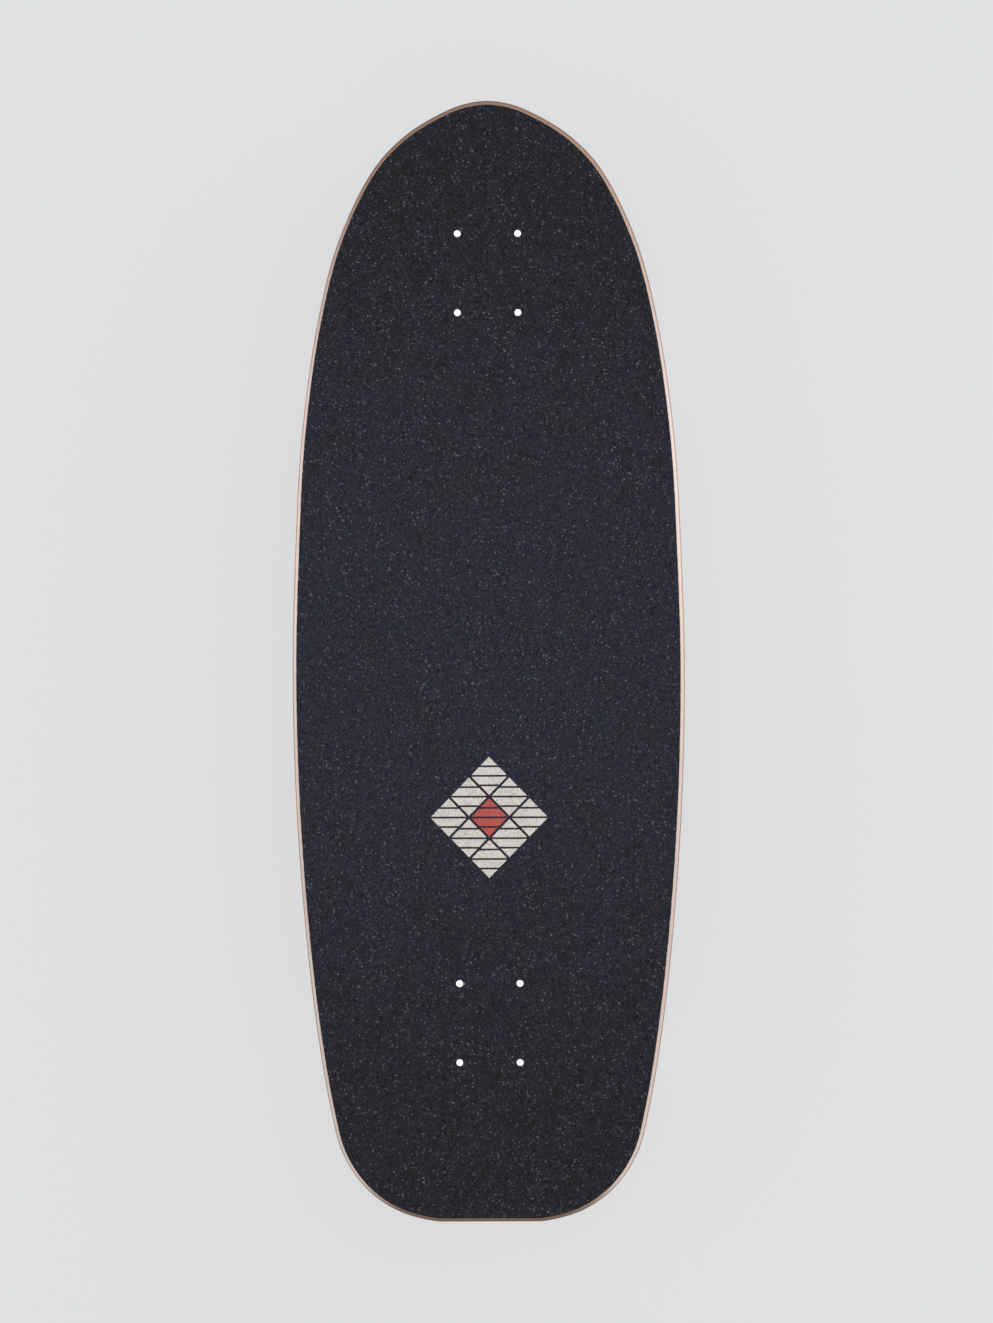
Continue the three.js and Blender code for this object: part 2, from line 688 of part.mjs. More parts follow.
function buildHanger(end, hangerGroup) {
  mesh(`${end}_hanger`, hangerSolid(), "castAlloy", hangerGroup);
  const axleStart = axleCentre.clone().setX(-axleHalfLength);
  const axle = along(rod(axleRadius, 2 * axleHalfLength, pinSides), axleStart, acrossBoard);
  mesh(`${end}_axle`, solid(axle), "steel", hangerGroup);
  for (const [side, word] of sides[end]) {
    const outwards = acrossBoard.clone().multiplyScalar(side);
    const start = (distance) => axleCentre.clone().setX(side * distance);
    const boreRadius = axleRadius + clearance;
    const tube = ring(boreRadius, sleeveRadius, sleeveLength, pinSides);
    const sleeve = solid(along(tube, start(sleeveStart), outwards));
    mesh(`bearing_sleeve_${end}_${word}`, sleeve, "steel", hangerGroup);
    const nut = along(hexagon(axleNutAcrossFlats, axleNutHeight), start(axleNutStart), outwards);
    const drill = rod(boreRadius, axleNutHeight + overrun, pinSides);
    const bore = along(drill, start(axleNutStart - clearance), outwards);
    mesh(`axle_nut_${end}_${word}`, solid(nut).subtract(solid(bore)), "zinc", hangerGroup);
  }
}

// One wheel, symmetrical about its middle, with a seat for a bearing on each side of a flange.
function wheelSolid() {
  const toFlats = 1 / Math.cos(Math.PI / wheelSides);
  const half = wheelWidth / 2;
  const seatRadius = bearingRadius + clearance;
  const seatStart = bearingSpacing / 2;
  const seatEnd = seatStart + bearingWidth + clearance;
  const side = [
    [wheelRadius * toFlats, treadWidth / 2],
    [wheelRadius - wheelLipDrop, half - wheelLipInset],
    [wheelRadius - wheelShoulderDrop, half - wheelShoulderInset],
    [wheelFaceRadius, half],
    [wheelDishRadius, half - wheelDishDepth],
    [seatRadius + bearingMouth, seatEnd],
    [seatRadius, seatEnd],
    [seatRadius, seatStart],
    [flangeBoreRadius, seatStart],
  ];
  const otherSide = side.map(([radius, height]) => [radius, -height]).reverse();
  return solid(turned([...side, ...otherSide, side[0]], wheelSides));
}

// The outer race with its caged balls and shield, open to the sleeve it turns on.
function bearingSolid() {
  return solid(
    turned(
      [
        [bearingBoreRadius, 0],
        [bearingRadius, 0],
        [bearingRadius, bearingWidth],
        [bearingShieldRadius, bearingWidth],
        [bearingShieldRadius, bearingWidth - bearingShieldDepth],
        [bearingBoreRadius, bearingWidth - bearingShieldDepth],
        [bearingBoreRadius, 0],
      ],
      pinSides,
    ),
  );
}

// Each wheel is turned back by its truck's lean, so that one of its facets lies on the ground.
function buildWheels(end, truck, lean) {
  for (const [side, word] of sides[end]) {
    const wheel = new THREE.Group();
    wheel.position.copy(axleCentre).setX(side * wheelCentreX);
    wheel.rotation.set(lean, (side * Math.PI) / 2, 0);
    truck.add(wheel);
    mesh(`wheel_${end}_${word}`, wheelSolid(), "wheel", wheel);
    const shelf = bearingSpacing / 2 + clearance / 2;
    const outerBearing = mesh(`bearing_${end}_${word}_outer`, bearingSolid(), "steel", wheel);
    outerBearing.position.z = shelf;
    const innerBearing = mesh(`bearing_${end}_${word}_inner`, bearingSolid(), "steel", wheel);
    innerBearing.position.z = -shelf;
    innerBearing.rotation.x = Math.PI;
  }
}

// Kingpin, its nut and washer, both bushings and the pivot cup.
function buildSteering(end, truck) {
  const shaft = rod(kingpinRadius, kingpinEnd - kingpinHeadTop, pinSides);
  const shank = along(shaft, onKingpin(kingpinHeadTop), kingpinDirection);
  const head = hexagon(kingpinHeadAcrossFlats, kingpinHeadHeight);
  const headInPlace = along(head, onKingpin(kingpinHeadTop), kingpinDirection);
  mesh(`${end}_kingpin`, solid(shank).add(solid(headInPlace)), "steel", truck);
  const bore = kingpinRadius + clearance;
  const drill = rod(bore, overrun, pinSides);
  const nutBore = along(drill, onKingpin(kingpinNutTop - clearance), kingpinDirection);
  const hexagonBlank = hexagon(kingpinHeadAcrossFlats, kingpinNutHeight);
  const nut = along(hexagonBlank, onKingpin(kingpinNutTop), kingpinDirection);
  mesh(`${end}_kingpin_nut`, solid(nut).subtract(solid(nutBore)), "zinc", truck);
  const board = [
    [bore, 0],
    [bushingConeRadius, 0],
    [bushingRadius, boardBushingHeight / 3],
    [bushingRadius, boardBushingHeight],
    [bore, boardBushingHeight],
    [bore, 0],
  ];
  const boardBushing = along(turned(board, pinSides), onKingpin(boardBushingTop), kingpinDirection);
  mesh(`${end}_board_bushing`, solid(boardBushing), "bushing", truck);
  const road = [
    [bore, 0],
    [bushingRadius, 0],
    [bushingRadius, roadBushingHeight / 3],
    [bushingConeRadius, roadBushingHeight],
    [bore, roadBushingHeight],
    [bore, 0],
  ];
  const roadBushing = along(turned(road, pinSides), onKingpin(roadBushingTop), kingpinDirection);
  mesh(`${end}_road_bushing`, solid(roadBushing), "bushing", truck);
  const rim = cupWasherRadius - cupWasherThickness;
  const washer = [
    [bore, 0],
    [rim, 0],
    [rim, -cupWasherLip],
    [cupWasherRadius, -cupWasherLip],
    [cupWasherRadius, cupWasherThickness],
    [bore, cupWasherThickness],
    [bore, 0],
  ];
  const cupWasher = along(turned(washer, pinSides), onKingpin(cupWasherTop), kingpinDirection);
  mesh(`${end}_cup_washer`, solid(cupWasher), "zinc", truck);
  const cup = [
    [0, pivotReach + clearance],
    [pivotRadiusAt(pivotReach) + clearance, pivotReach + clearance],
    [pivotRadiusAt(pivotCupStart) + clearance, pivotCupStart],
    [pivotCupRadius, pivotCupStart],
    [pivotCupRadius, pivotCupEnd],
    [0, pivotCupEnd],
  ];
  const pivotCup = along(turned(cup, pinSides), ringCentre, pivotDirection);
  mesh(`${end}_pivot_cup`, solid(pivotCup), "blackRubber", truck);
}

// Heights along the swivel axis, downwards from where it meets the deck. The stack is as long as it must be
// for the front axle to lie as high as the rear one.
const axleBelowArm = truckHeight * Math.cos(swivelLean) + axleOutset * Math.sin(swivelLean);
const armRise = swivelToTruck * Math.sin(swivelLean);
const armTop = (deckUnderside - wheelRadius - axleBelowArm + armRise) / Math.cos(swivelLean);
const bushFlangeTop = armTop - clearance - bushFlangeThickness;
const swivelBossEnd = bushFlangeTop - clearance;
const swivelNutTop = armTop + armHubThickness + clearance;
const springTop = springCollarTop + springCollarThickness + clearance + springWire / 2;
const springBottom = armTop - clearance - springWire / 2;
const bushRadius = swivelBoltRadius + clearance + bushWall;

// The plate that bolts under the deck, with the boss that the arm swivels on.
function swivelBaseSolid() {
  const { blank, holes } = boltedPlate(swivelPlateWidth, swivelPlateLength, swivelPlateThickness);
  const level = new THREE.Matrix4().makeTranslation(0, -swivelAhead, 0);
  const turn = new THREE.Matrix4().makeRotationX(swivelLean);
  const placed = (part) => solid(geometryOf(part).applyMatrix4(level).applyMatrix4(turn));
  const plate = placed(cut(blank, holes));
  const headSeat = swivelHeadTop + swivelHeadHeight + clearance;
  const boss = solid(
    turned(
      [
        [0, -swivelBossEnd],
        [swivelBossRadius, -swivelBossEnd],
        [swivelBossRadius, -springCollarTop - springCollarThickness],
        [springCollarRadius, -springCollarTop - springCollarThickness],
        [springCollarRadius, -springCollarTop],
        [swivelBossRadius, -springCollarTop],
        [swivelBossRadius, 0],
        [0, 0],
      ],
      castSides,
    ),
  );
  const slabHeight = overrun;
  const slabSide = 2 * swivelPlateLength;
  const slab = new THREE.BoxGeometry(slabSide, slabSide, slabHeight).translate(0, 0, slabHeight / 2);
  const aboveDeck = solid(slab.applyMatrix4(turn));
  const shank = rod(swivelBoltRadius + clearance, swivelBossEnd + overrun, pinSides);
  const recess = rod(swivelHeadRecessRadius, headSeat + overrun, pinSides);
  const baseLug = lug(-springTop, -springCollarTop, swivelBoltRadius, springLugAngle(0, -1));
  return cut(joined([boss, plate, baseLug]), [
    aboveDeck,
    solid(shank.translate(0, 0, -swivelBossEnd - overrun / 2)),
    solid(recess.translate(0, 0, -headSeat)),
  ]);
}

// Where a spring end stops, as an angle round the swivel axis: just past the straight end of the wire.
function springLugAngle(turns, direction) {
  const innerRadius = springRadius - springWire / 2;
  const endReach = Math.atan2(springWire, innerRadius);
  const lugReach = Math.asin((clearance + lugWidth / 2) / Math.hypot(innerRadius, springWire));
  return turns * 2 * Math.PI + direction * (endReach + lugReach);
}

// A block standing beside the spring for one of its ends to push on.
function lug(bottom, top, innerRadius, angle) {
  const block = new THREE.BoxGeometry(lugOuterRadius - innerRadius, lugWidth, top - bottom);
  block.translate((innerRadius + lugOuterRadius) / 2, 0, (top + bottom) / 2).rotateZ(angle);
  return solid(block);
}

// The arm: a hub under the swivel boss that reaches back to the truck's kingpin and pivot.
function swivelArmSolid() {
  const hubTop = inPlane(0, -armTop);
  const hubBottom = inPlane(0, -armTop - armThickness);
  const tailMiddle = -swivelToTruck - ringInset / 2;
  const plate = skinOver([
    circlePoints(hubTop, upwards, armHubRadius, castSides),
    circlePoints(hubBottom, upwards, armHubRadius, castSides),
    circlePoints(inPlane(tailMiddle, -armTop), upwards, armTailRadius, castSides),
    circlePoints(inPlane(tailMiddle, -armTop - armThickness), upwards, armTailRadius, castSides),
  ]);
  const hub = rod(armHubBossRadius, armHubThickness, castSides).translate(0, 0, -armTop - armHubThickness);
  const { bosses, cuts } = truckSeats(armThickness);
  const toTruck = new THREE.Matrix4().makeTranslation(0, -swivelToTruck, -armTop);
  const placed = (part) => solid(geometryOf(part).applyMatrix4(toTruck));
  const bore = rod(bushRadius + clearance, armHubThickness + overrun, pinSides);
  const lugStart = swivelBossRadius + clearance;
  const armLug = lug(-armTop - clearance, lugHeight - armTop, lugStart, springLugAngle(springTurns, 1));
  const whole = joined([plate, solid(hub), armLug, ...bosses.map(placed)]);
  return cut(whole, [
    solid(bore.translate(0, 0, -armTop - armHubThickness - overrun / 2)),
    ...cuts.map(placed),
  ]);
}

// The wire's middle line: a straight end, the turns, and a straight end.
function springLine() {
  const steps = springTurns * springStepsPerTurn;
  const at = (turns, height) => {
    const angle = turns * 2 * Math.PI;
    return new THREE.Vector3(Math.cos(angle) * springRadius, Math.sin(angle) * springRadius, height);
  };
  const coil = Array.from({ length: steps + 1 }, (_, i) => {
    const share = i / steps;
    return at(share * springTurns, -springTop - share * (springBottom - springTop));
  });
  const straight = (end, turns, side) => {
    const angle = turns * 2 * Math.PI;
    const forward = new THREE.Vector3(-Math.sin(angle), Math.cos(angle), 0);
    return end.clone().addScaledVector(forward, side * springWire);
  };
  return [straight(coil[0], 0, -1), ...coil, straight(coil[steps], springTurns, 1)];
}

// A round wire swept along a line that winds about the Z axis.
function sweptWire(line) {
  const points = [];
  line.forEach((place, i) => {
    const before = line[Math.max(0, i - 1)];
    const after = line[Math.min(line.length - 1, i + 1)];
    const forward = after.clone().sub(before).normalize();
    const radial = new THREE.Vector3(place.x, place.y, 0);
    radial.addScaledVector(forward, -radial.dot(forward)).normalize();
    const third = forward.clone().cross(radial);
    for (let k = 0; k < springWireSides; k++) {
      const angle = (k / springWireSides) * 2 * Math.PI;
      const spoke = radial.clone().multiplyScalar(Math.cos(angle)).addScaledVector(third, Math.sin(angle));
      points.push(...place.clone().addScaledVector(spoke, springWire / 2).toArray());
    }
  });
  const faces = [];
  const at = (i, k) => i * springWireSides + (k % springWireSides);
  for (let i = 0; i + 1 < line.length; i++) {
    for (let k = 0; k < springWireSides; k++) {
      faces.push(at(i, k), at(i, k + 1), at(i + 1, k + 1), at(i, k), at(i + 1, k + 1), at(i + 1, k));
    }
  }
  for (let k = 1; k + 1 < springWireSides; k++) {
    faces.push(at(0, 0), at(0, k + 1), at(0, k));
    faces.push(at(line.length - 1, 0), at(line.length - 1, k), at(line.length - 1, k + 1));
  }
  const geometry = new THREE.BufferGeometry();
  geometry.setAttribute("position", new THREE.BufferAttribute(new Float32Array(points), 3));
  geometry.setIndex(faces);
  return solid(geometry);
}

// The least space between one stretch of the wire and another, half a turn or more apart.
function leastGap(line) {
  const apart = springStepsPerTurn / 2;
  let least = Infinity;
  line.forEach((a, i) => {
    line.slice(i + apart).forEach((b) => {
      least = Math.min(least, a.distanceTo(b) - springWire);
    });
  });
  return least;
}

function buildSwivel(board) {
  const swivel = new THREE.Group();
  swivel.position.set(0, frontBoltsY + swivelAhead, deckUnderside);
  swivel.rotation.x = -swivelLean;
  board.add(swivel);
  mesh("swivel_base", swivelBaseSolid(), "blackAlloy", swivel);
  mesh("swivel_arm", swivelArmSolid(), "castAlloy", swivel);
  const boltBottom = -swivelNutTop - swivelNutHeight - swivelBoltTail;
  const shank = rod(swivelBoltRadius, -swivelHeadTop - boltBottom, pinSides).translate(0, 0, boltBottom);
  const head = hexagon(swivelHeadAcrossFlats, swivelHeadHeight);
  const headBottom = -swivelHeadTop - swivelHeadHeight;
  mesh("swivel_bolt", solid(shank).add(solid(head.translate(0, 0, headBottom))), "zinc", swivel);
  const nut = hexagon(swivelNutAcrossFlats, swivelNutHeight);
  const nutBore = rod(swivelBoltRadius + clearance, swivelNutHeight + overrun, pinSides);
  const nutSolid = solid(nut).subtract(solid(nutBore.translate(0, 0, -overrun / 2)));
  mesh("swivel_nut", nutSolid, "zinc", swivel).position.z = -swivelNutTop - swivelNutHeight;
  const bushBore = swivelBoltRadius + clearance;
  const bush = [
    [bushBore, -armTop - armHubThickness],
    [bushRadius, -armTop - armHubThickness],
    [bushRadius, -armTop + clearance],
    [bushFlangeRadius, -armTop + clearance],
    [bushFlangeRadius, -bushFlangeTop],
    [bushBore, -bushFlangeTop],
    [bushBore, -armTop - armHubThickness],
  ];
  mesh("swivel_bush", solid(turned(bush, pinSides)), "bronze", swivel);
  const line = springLine();
  console.log(`centering spring: least gap to itself ${leastGap(line).toFixed(2)} mm`);
  mesh("centering_spring", sweptWire(line), "springSteel", swivel);
  return swivel;
}

function buildBoard() {
  const board = new THREE.Group();
  buildDeck(board);
  buildBolts(board);

  const swivel = buildSwivel(board);
  const frontTruck = new THREE.Group();
  frontTruck.position.set(0, -swivelToTruck, -armTop);
  swivel.add(frontTruck);

  const rearTruck = new THREE.Group();
  rearTruck.position.set(0, rearBoltsY, deckUnderside - riserThickness);
  rearTruck.rotation.z = Math.PI;
  board.add(rearTruck);
  buildRearBase(rearTruck);

  for (const [end, truck, lean] of [["front", frontTruck, swivelLean], ["rear", rearTruck, 0]]) {
    buildSteering(end, truck);
    buildHanger(end, truck);
    buildWheels(end, truck, lean);
  }
  return board;
}

export default buildBoard();
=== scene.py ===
"""Surf skateboard: the finished looks of the board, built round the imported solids.

Lengths are in millimetres while a shape is made. One matrix turns them to metres when the piece is finished.
"""

import logging
import math
import random
from dataclasses import dataclass, field, replace
from enum import Enum
from typing import Iterable, Optional

import bmesh
import bpy
from mathutils import Matrix, Vector
from mathutils.geometry import interpolate_bezier


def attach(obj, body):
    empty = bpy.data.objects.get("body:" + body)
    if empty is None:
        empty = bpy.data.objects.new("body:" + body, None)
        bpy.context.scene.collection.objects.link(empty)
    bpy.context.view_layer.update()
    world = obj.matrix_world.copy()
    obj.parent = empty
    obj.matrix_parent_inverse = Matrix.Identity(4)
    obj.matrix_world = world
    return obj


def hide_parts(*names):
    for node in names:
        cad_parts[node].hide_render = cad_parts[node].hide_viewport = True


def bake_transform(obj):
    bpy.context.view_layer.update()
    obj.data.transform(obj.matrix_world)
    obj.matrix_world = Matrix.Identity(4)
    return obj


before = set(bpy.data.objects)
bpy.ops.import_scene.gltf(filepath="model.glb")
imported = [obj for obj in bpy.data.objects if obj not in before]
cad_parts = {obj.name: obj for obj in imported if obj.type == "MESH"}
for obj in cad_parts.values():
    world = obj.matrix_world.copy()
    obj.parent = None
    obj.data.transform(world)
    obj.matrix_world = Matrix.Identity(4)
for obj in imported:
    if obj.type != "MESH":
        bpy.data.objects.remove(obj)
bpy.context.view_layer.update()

LOG = logging.getLogger("surf_skateboard")
MM = 0.001
ACROSS = Vector((1, 0, 0))
ALONG = Vector((0, 1, 0))
UP = Vector((0, 0, 1))
ENDS = (-1, 1)
FINE = 96  # segments round a large turned piece
PLAIN = 48  # segments round a small one
CAST_SIDES = 40  # segments round the circles that a casting is stretched over
CAST_GRAIN = 0.8  # size of the faces that a casting's skin is made of
BEYOND = 30.0  # how far a cutting tool runs past what it cuts
WIDE = 99.0  # half the width of a tool that trims a whole casting
SPARE = 2.0  # how far a casting stands past a face that is cut flat later
SNUG = 0.05  # how much wider than its bolt's radius a nut is bored
OVERLAP = 0.5  # how far a bolt's shank runs into its head
TOUCHING = 1e-4  # places closer than this are one place
CREASE = math.radians(32)  # faces that meet at more than this keep a sharp edge
LOW, HIGH = 0.35, 0.65  # most of a noise texture lies between these levels
LEAST, MOST = 0.3, 0.7  # and nearly all of it between these

Point = tuple[float, ...]
Shape = bmesh.types.BMesh
Tree = bpy.types.NodeTree
Node = bpy.types.Node
Socket = bpy.types.NodeSocket


# Sizes that several sub-assemblies share


@dataclass(frozen=True)
class Stack:
    """Heights and places that several sub-assemblies share."""

    deck_length: float = 764.0
    deck_width: float = 267.5
    ply_count: int = 7
    ply_thickness: float = 1.45
    glue_line: float = 0.05
    grip_thickness: float = 0.9
    wheel_radius: float = 33.0
    truck_height: float = 61.5
    axle_outset: float = 8.0
    riser_thickness: float = 12.7
    swivel_plate: float = 7.0
    baseplate: float = 6.5
    nose_to_front_bolts: float = 117.4
    tail_to_rear_bolts: float = 134.6
    bolt_across: float = 41.28
    bolt_along: float = 53.98
    bolt_hole_radius: float = 2.85
    clearance: float = 0.3

    @property
    def deck_underside(self) -> float:
        """Height of the flat underside of the deck."""
        return self.wheel_radius + self.truck_height + self.riser_thickness

    @property
    def ply_pitch(self) -> float:
        """One ply with its glue line."""
        return self.ply_thickness + self.glue_line

    @property
    def deck_thickness(self) -> float:
        """All the plies."""
        return self.ply_count * self.ply_pitch - self.glue_line

    @property
    def deck_top(self) -> float:
        """Height of the flat top of the wood."""
        return self.deck_underside + self.deck_thickness

    @property
    def front_bolts_y(self) -> float:
        """Middle of the front bolt pattern."""
        return self.deck_length / 2 - self.nose_to_front_bolts

    @property
    def rear_bolts_y(self) -> float:
        """Middle of the rear bolt pattern."""
        return self.tail_to_rear_bolts - self.deck_length / 2

    def bolt_places(self, middle_y: float) -> list[tuple[float, float]]:
        """The four bolts of a pattern.

        Args:
            middle_y: where the middle of the pattern lies along the board.

        Returns:
            Four places across and along the board.
        """
        x, y = self.bolt_across / 2, self.bolt_along / 2
        return [(-x, middle_y + y), (x, middle_y + y), (-x, middle_y - y), (x, middle_y - y)]


STACK = Stack()


# Finishes


def linear(code: str) -> tuple[float, float, float, float]:
    """Turns an sRGB hex colour to the linear one that a shader takes.

    Args:
        code: six hex digits.

    Returns:
        Linear red, green and blue, and an alpha of 1.
    """
    levels = [int(code[i : i + 2], 16) / 255 for i in (0, 2, 4)]
    turned_linear = [v / 12.92 if v <= 0.04045 else ((v + 0.055) / 1.055) ** 2.4 for v in levels]
    return (*turned_linear, 1.0)


def per_mm(size: float) -> float:
    """Texture scale at which one feature of a pattern is this many millimetres wide."""
    return 1 / (size * MM)


def feed(node: Node, wires: dict) -> None:
    """Sets a node's inputs.

    A range has its limits at 1 and 2 and its results at 3 and 4, and a mix its colours at 6 and 7.

    Args:
        node: the node.
        wires: input name or number to a socket, to a node, whose first live output counts, or to a value.
    """
    for key, value in wires.items():
        if isinstance(value, Node):
            value = next(socket for socket in value.outputs if socket.enabled)
        if isinstance(value, Socket):
            node.id_data.links.new(value, node.inputs[key])
        else:
            node.inputs[key].default_value = value


def add(tree: Tree, kind: str, wires: Optional[dict] = None, **settings: object) -> Node:
    """Adds a node with its settings and links.

    Args:
        tree: the material's tree.
        kind: the node's type, without the words that all types start with.
        wires: what its inputs get.
        settings: the node's own properties.

    Returns:
        The new node.
    """
    node = tree.nodes.new("ShaderNode" + kind)
    for key, value in settings.items():
        setattr(node, key, value)
    feed(node, wires or {})
    return node


@dataclass(frozen=True)
class Finish:
    """A finish with cloudy variation of colour and gloss and a fine grain in relief."""

    name: str
    slot: str
    colour: str
    shade: str  # the second colour, in patches
    patch_mm: float = 12.0
    grain_mm: float = 0.8
    relief_mm: float = 0.03
    roughness: float = 0.5
    gloss_spread: float = 0.08
    metallic: float = 0.0
    specular: float = 0.5
    coat: Point = ()  # weight and roughness of a clear coat
    milky: Point = ()  # how much light goes in, and how far in metres

    def material(self) -> bpy.types.Material:
        """Makes the finish's material once.

        Returns:
            The material, made or found.
        """
        made = bpy.data.materials.get(self.name)
        if made:
            return made
        made = bpy.data.materials.new(self.name)
        made.use_nodes = True
        tree = made.node_tree
        shader = tree.nodes["Principled BSDF"]
        feed(shader, {"Metallic": self.metallic, "Roughness": self.roughness})
        feed(shader, {"Specular IOR Level": self.specular})
        feed(shader, dict(zip(("Coat Weight", "Coat Roughness"), self.coat)))
        feed(shader, dict(zip(("Subsurface Weight", "Subsurface Scale"), self.milky)))
        feed(shader, self.pattern(tree, add(tree, "TexCoord").outputs["Object"]))
        return made

    def pattern(self, tree: Tree, place: Socket) -> dict[str, Node]:
        """The finish's pattern.

        Args:
            tree: the material's tree.
            place: the Object coordinates.

        Returns:
            Each input of the shader that the pattern feeds, with the node that feeds it.
        """
        patch = add(tree, "TexNoise", {"Vector": place, "Scale": per_mm(self.patch_mm), "Detail": 4.0})
        tone = add(tree, "MapRange", {0: patch, 1: LOW, 2: HIGH})
        tint = add(tree, "Mix", {0: tone, 6: linear(self.colour), 7: linear(self.shade)}, data_type="RGBA")
        dull, shiny = self.roughness - self.gloss_spread, self.roughness + self.gloss_spread
        gloss = add(tree, "MapRange", {0: patch, 1: LEAST, 2: MOST, 3: dull, 4: shiny})
        return {"Base Color": tint, "Roughness": gloss, "Normal": self.relief(tree, place)}

    def relief(self, tree: Tree, place: Socket | Node) -> Node:
        """The fine grain.

        Args:
            tree: the material's tree.
            place: the coordinates that the grain follows.

        Returns:
            The bump node.
        """
        grain = add(tree, "TexNoise", {"Vector": place, "Scale": per_mm(self.grain_mm), "Detail": 3.0})
        return add(tree, "Bump", {"Height": grain, "Distance": self.relief_mm * MM, "Strength": 1.0})


@dataclass(frozen=True)
class GripTape(Finish):
    """Silicon carbide grit glued on dyed cloth: matt, dark navy drifting to black, with a painted glint on a
    few grains.
    """

    ink: str = ""  # a screen-printed colour over the grit, or none
    grit_mm: float = 0.9  # real grit is 0.2 mm, drawn coarser so that it shows
    grit_height: float = 0.8  # how much of its relief shows
    painted_glint: str = "5D5D69"  # painted highlight added to the colour of the few grains that seem to face the light
    rarity: float = 36.0  # and how few they are
    dull: float = 0.88  # brightness of the others, and how much they differ
    uneven: float = 0.46
    fade_places: Point = (0.05, 0.36)  # metres from the middle between which the grip turns greyer and darker
    fade_share: float = 0.45  # share of the second colour that this adds
    cloud_shares: Point = (0.05, 0.65)  # share of it in the clouds
    end_fade: float = 0.8  # brightness at the nose and the tail, where the grip is drawn darker
    bare_grains: float = 0.25  # share of the grains that stand out of the ink
    bare_cover: float = 0.55  # and what still covers them
    ink_mm: float = 9.0  # size of the patches where the ink is thin
    thin_cover: float = 0.88

    def pattern(self, tree: Tree, place: Socket) -> dict[str, Node]:
        """Clouds of dye and grains of grit; see the base class for the arguments and what comes back."""
        cloud = add(tree, "TexNoise", {"Vector": place, "Scale": per_mm(self.patch_mm), "Detail": 3.0})
        axes = add(tree, "SeparateXYZ", {0: place})
        off_middle = add(tree, "Math", {0: axes.outputs["Y"]}, operation="ABSOLUTE")
        start, end = self.fade_places
        drift = add(tree, "MapRange", {0: off_middle, 1: start, 2: end}, interpolation_type="SMOOTHSTEP")
        least, most = self.cloud_shares
        patch = add(tree, "MapRange", {0: cloud, 1: LOW, 2: HIGH, 3: least, 4: most})
        share = add(tree, "Math", {0: drift, 1: self.fade_share, 2: patch}, operation="MULTIPLY_ADD")
        dye = add(tree, "Mix", {0: share, 6: linear(self.colour), 7: linear(self.shade)}, data_type="RGBA")
        grains = add(tree, "TexVoronoi", {"Vector": place, "Scale": per_mm(self.grit_mm)})
        luck = add(tree, "SeparateXYZ", {0: grains.outputs["Color"]})
        dark, light = self.dull - self.uneven, self.dull + self.uneven
        plain = add(tree, "MapRange", {0: luck.outputs["Y"], 3: dark, 4: light})
        fade = add(tree, "MapRange", {0: drift, 3: 1.0, 4: self.end_fade})
        bright = add(tree, "Math", {0: plain, 1: fade}, operation="MULTIPLY")
        cloth = add(tree, "VectorMath", {0: dye, "Scale": bright}, operation="SCALE")
        # painted glints: a few grains, picked at random, get a highlight added to their colour
        facing = add(tree, "Math", {0: luck.outputs["X"], 1: self.rarity}, operation="POWER")
        painted_glint_inputs = {0: facing, 1: linear(self.painted_glint)[:3], 2: cloth}
        colour = add(tree, "VectorMath", painted_glint_inputs, operation="MULTIPLY_ADD")
        if self.ink:
            ranks = {0: luck.outputs["Z"], 1: 0.0, 2: self.bare_grains, 3: self.bare_cover, 4: 1.0}
            cover = add(tree, "MapRange", ranks)
            wear_and_painted_shade = add(tree, "TexNoise", {"Vector": place, "Scale": per_mm(self.ink_mm), "Detail": 3.0})
            thin = add(tree, "MapRange", {0: wear_and_painted_shade, 1: LEAST, 2: MOST, 3: self.thin_cover, 4: 1.0})
            both = add(tree, "Math", {0: cover, 1: thin}, operation="MULTIPLY")
            colour = add(tree, "Mix", {0: both, 6: colour, 7: linear(self.ink)}, data_type="RGBA")
        point = add(tree, "Math", {0: 1.0, 1: grains.outputs["Distance"]}, operation="SUBTRACT")
        relief = {"Height": point, "Distance": self.relief_mm * MM, "Strength": self.grit_height}
        return {"Base Color": colour, "Normal": add(tree, "Bump", relief)}


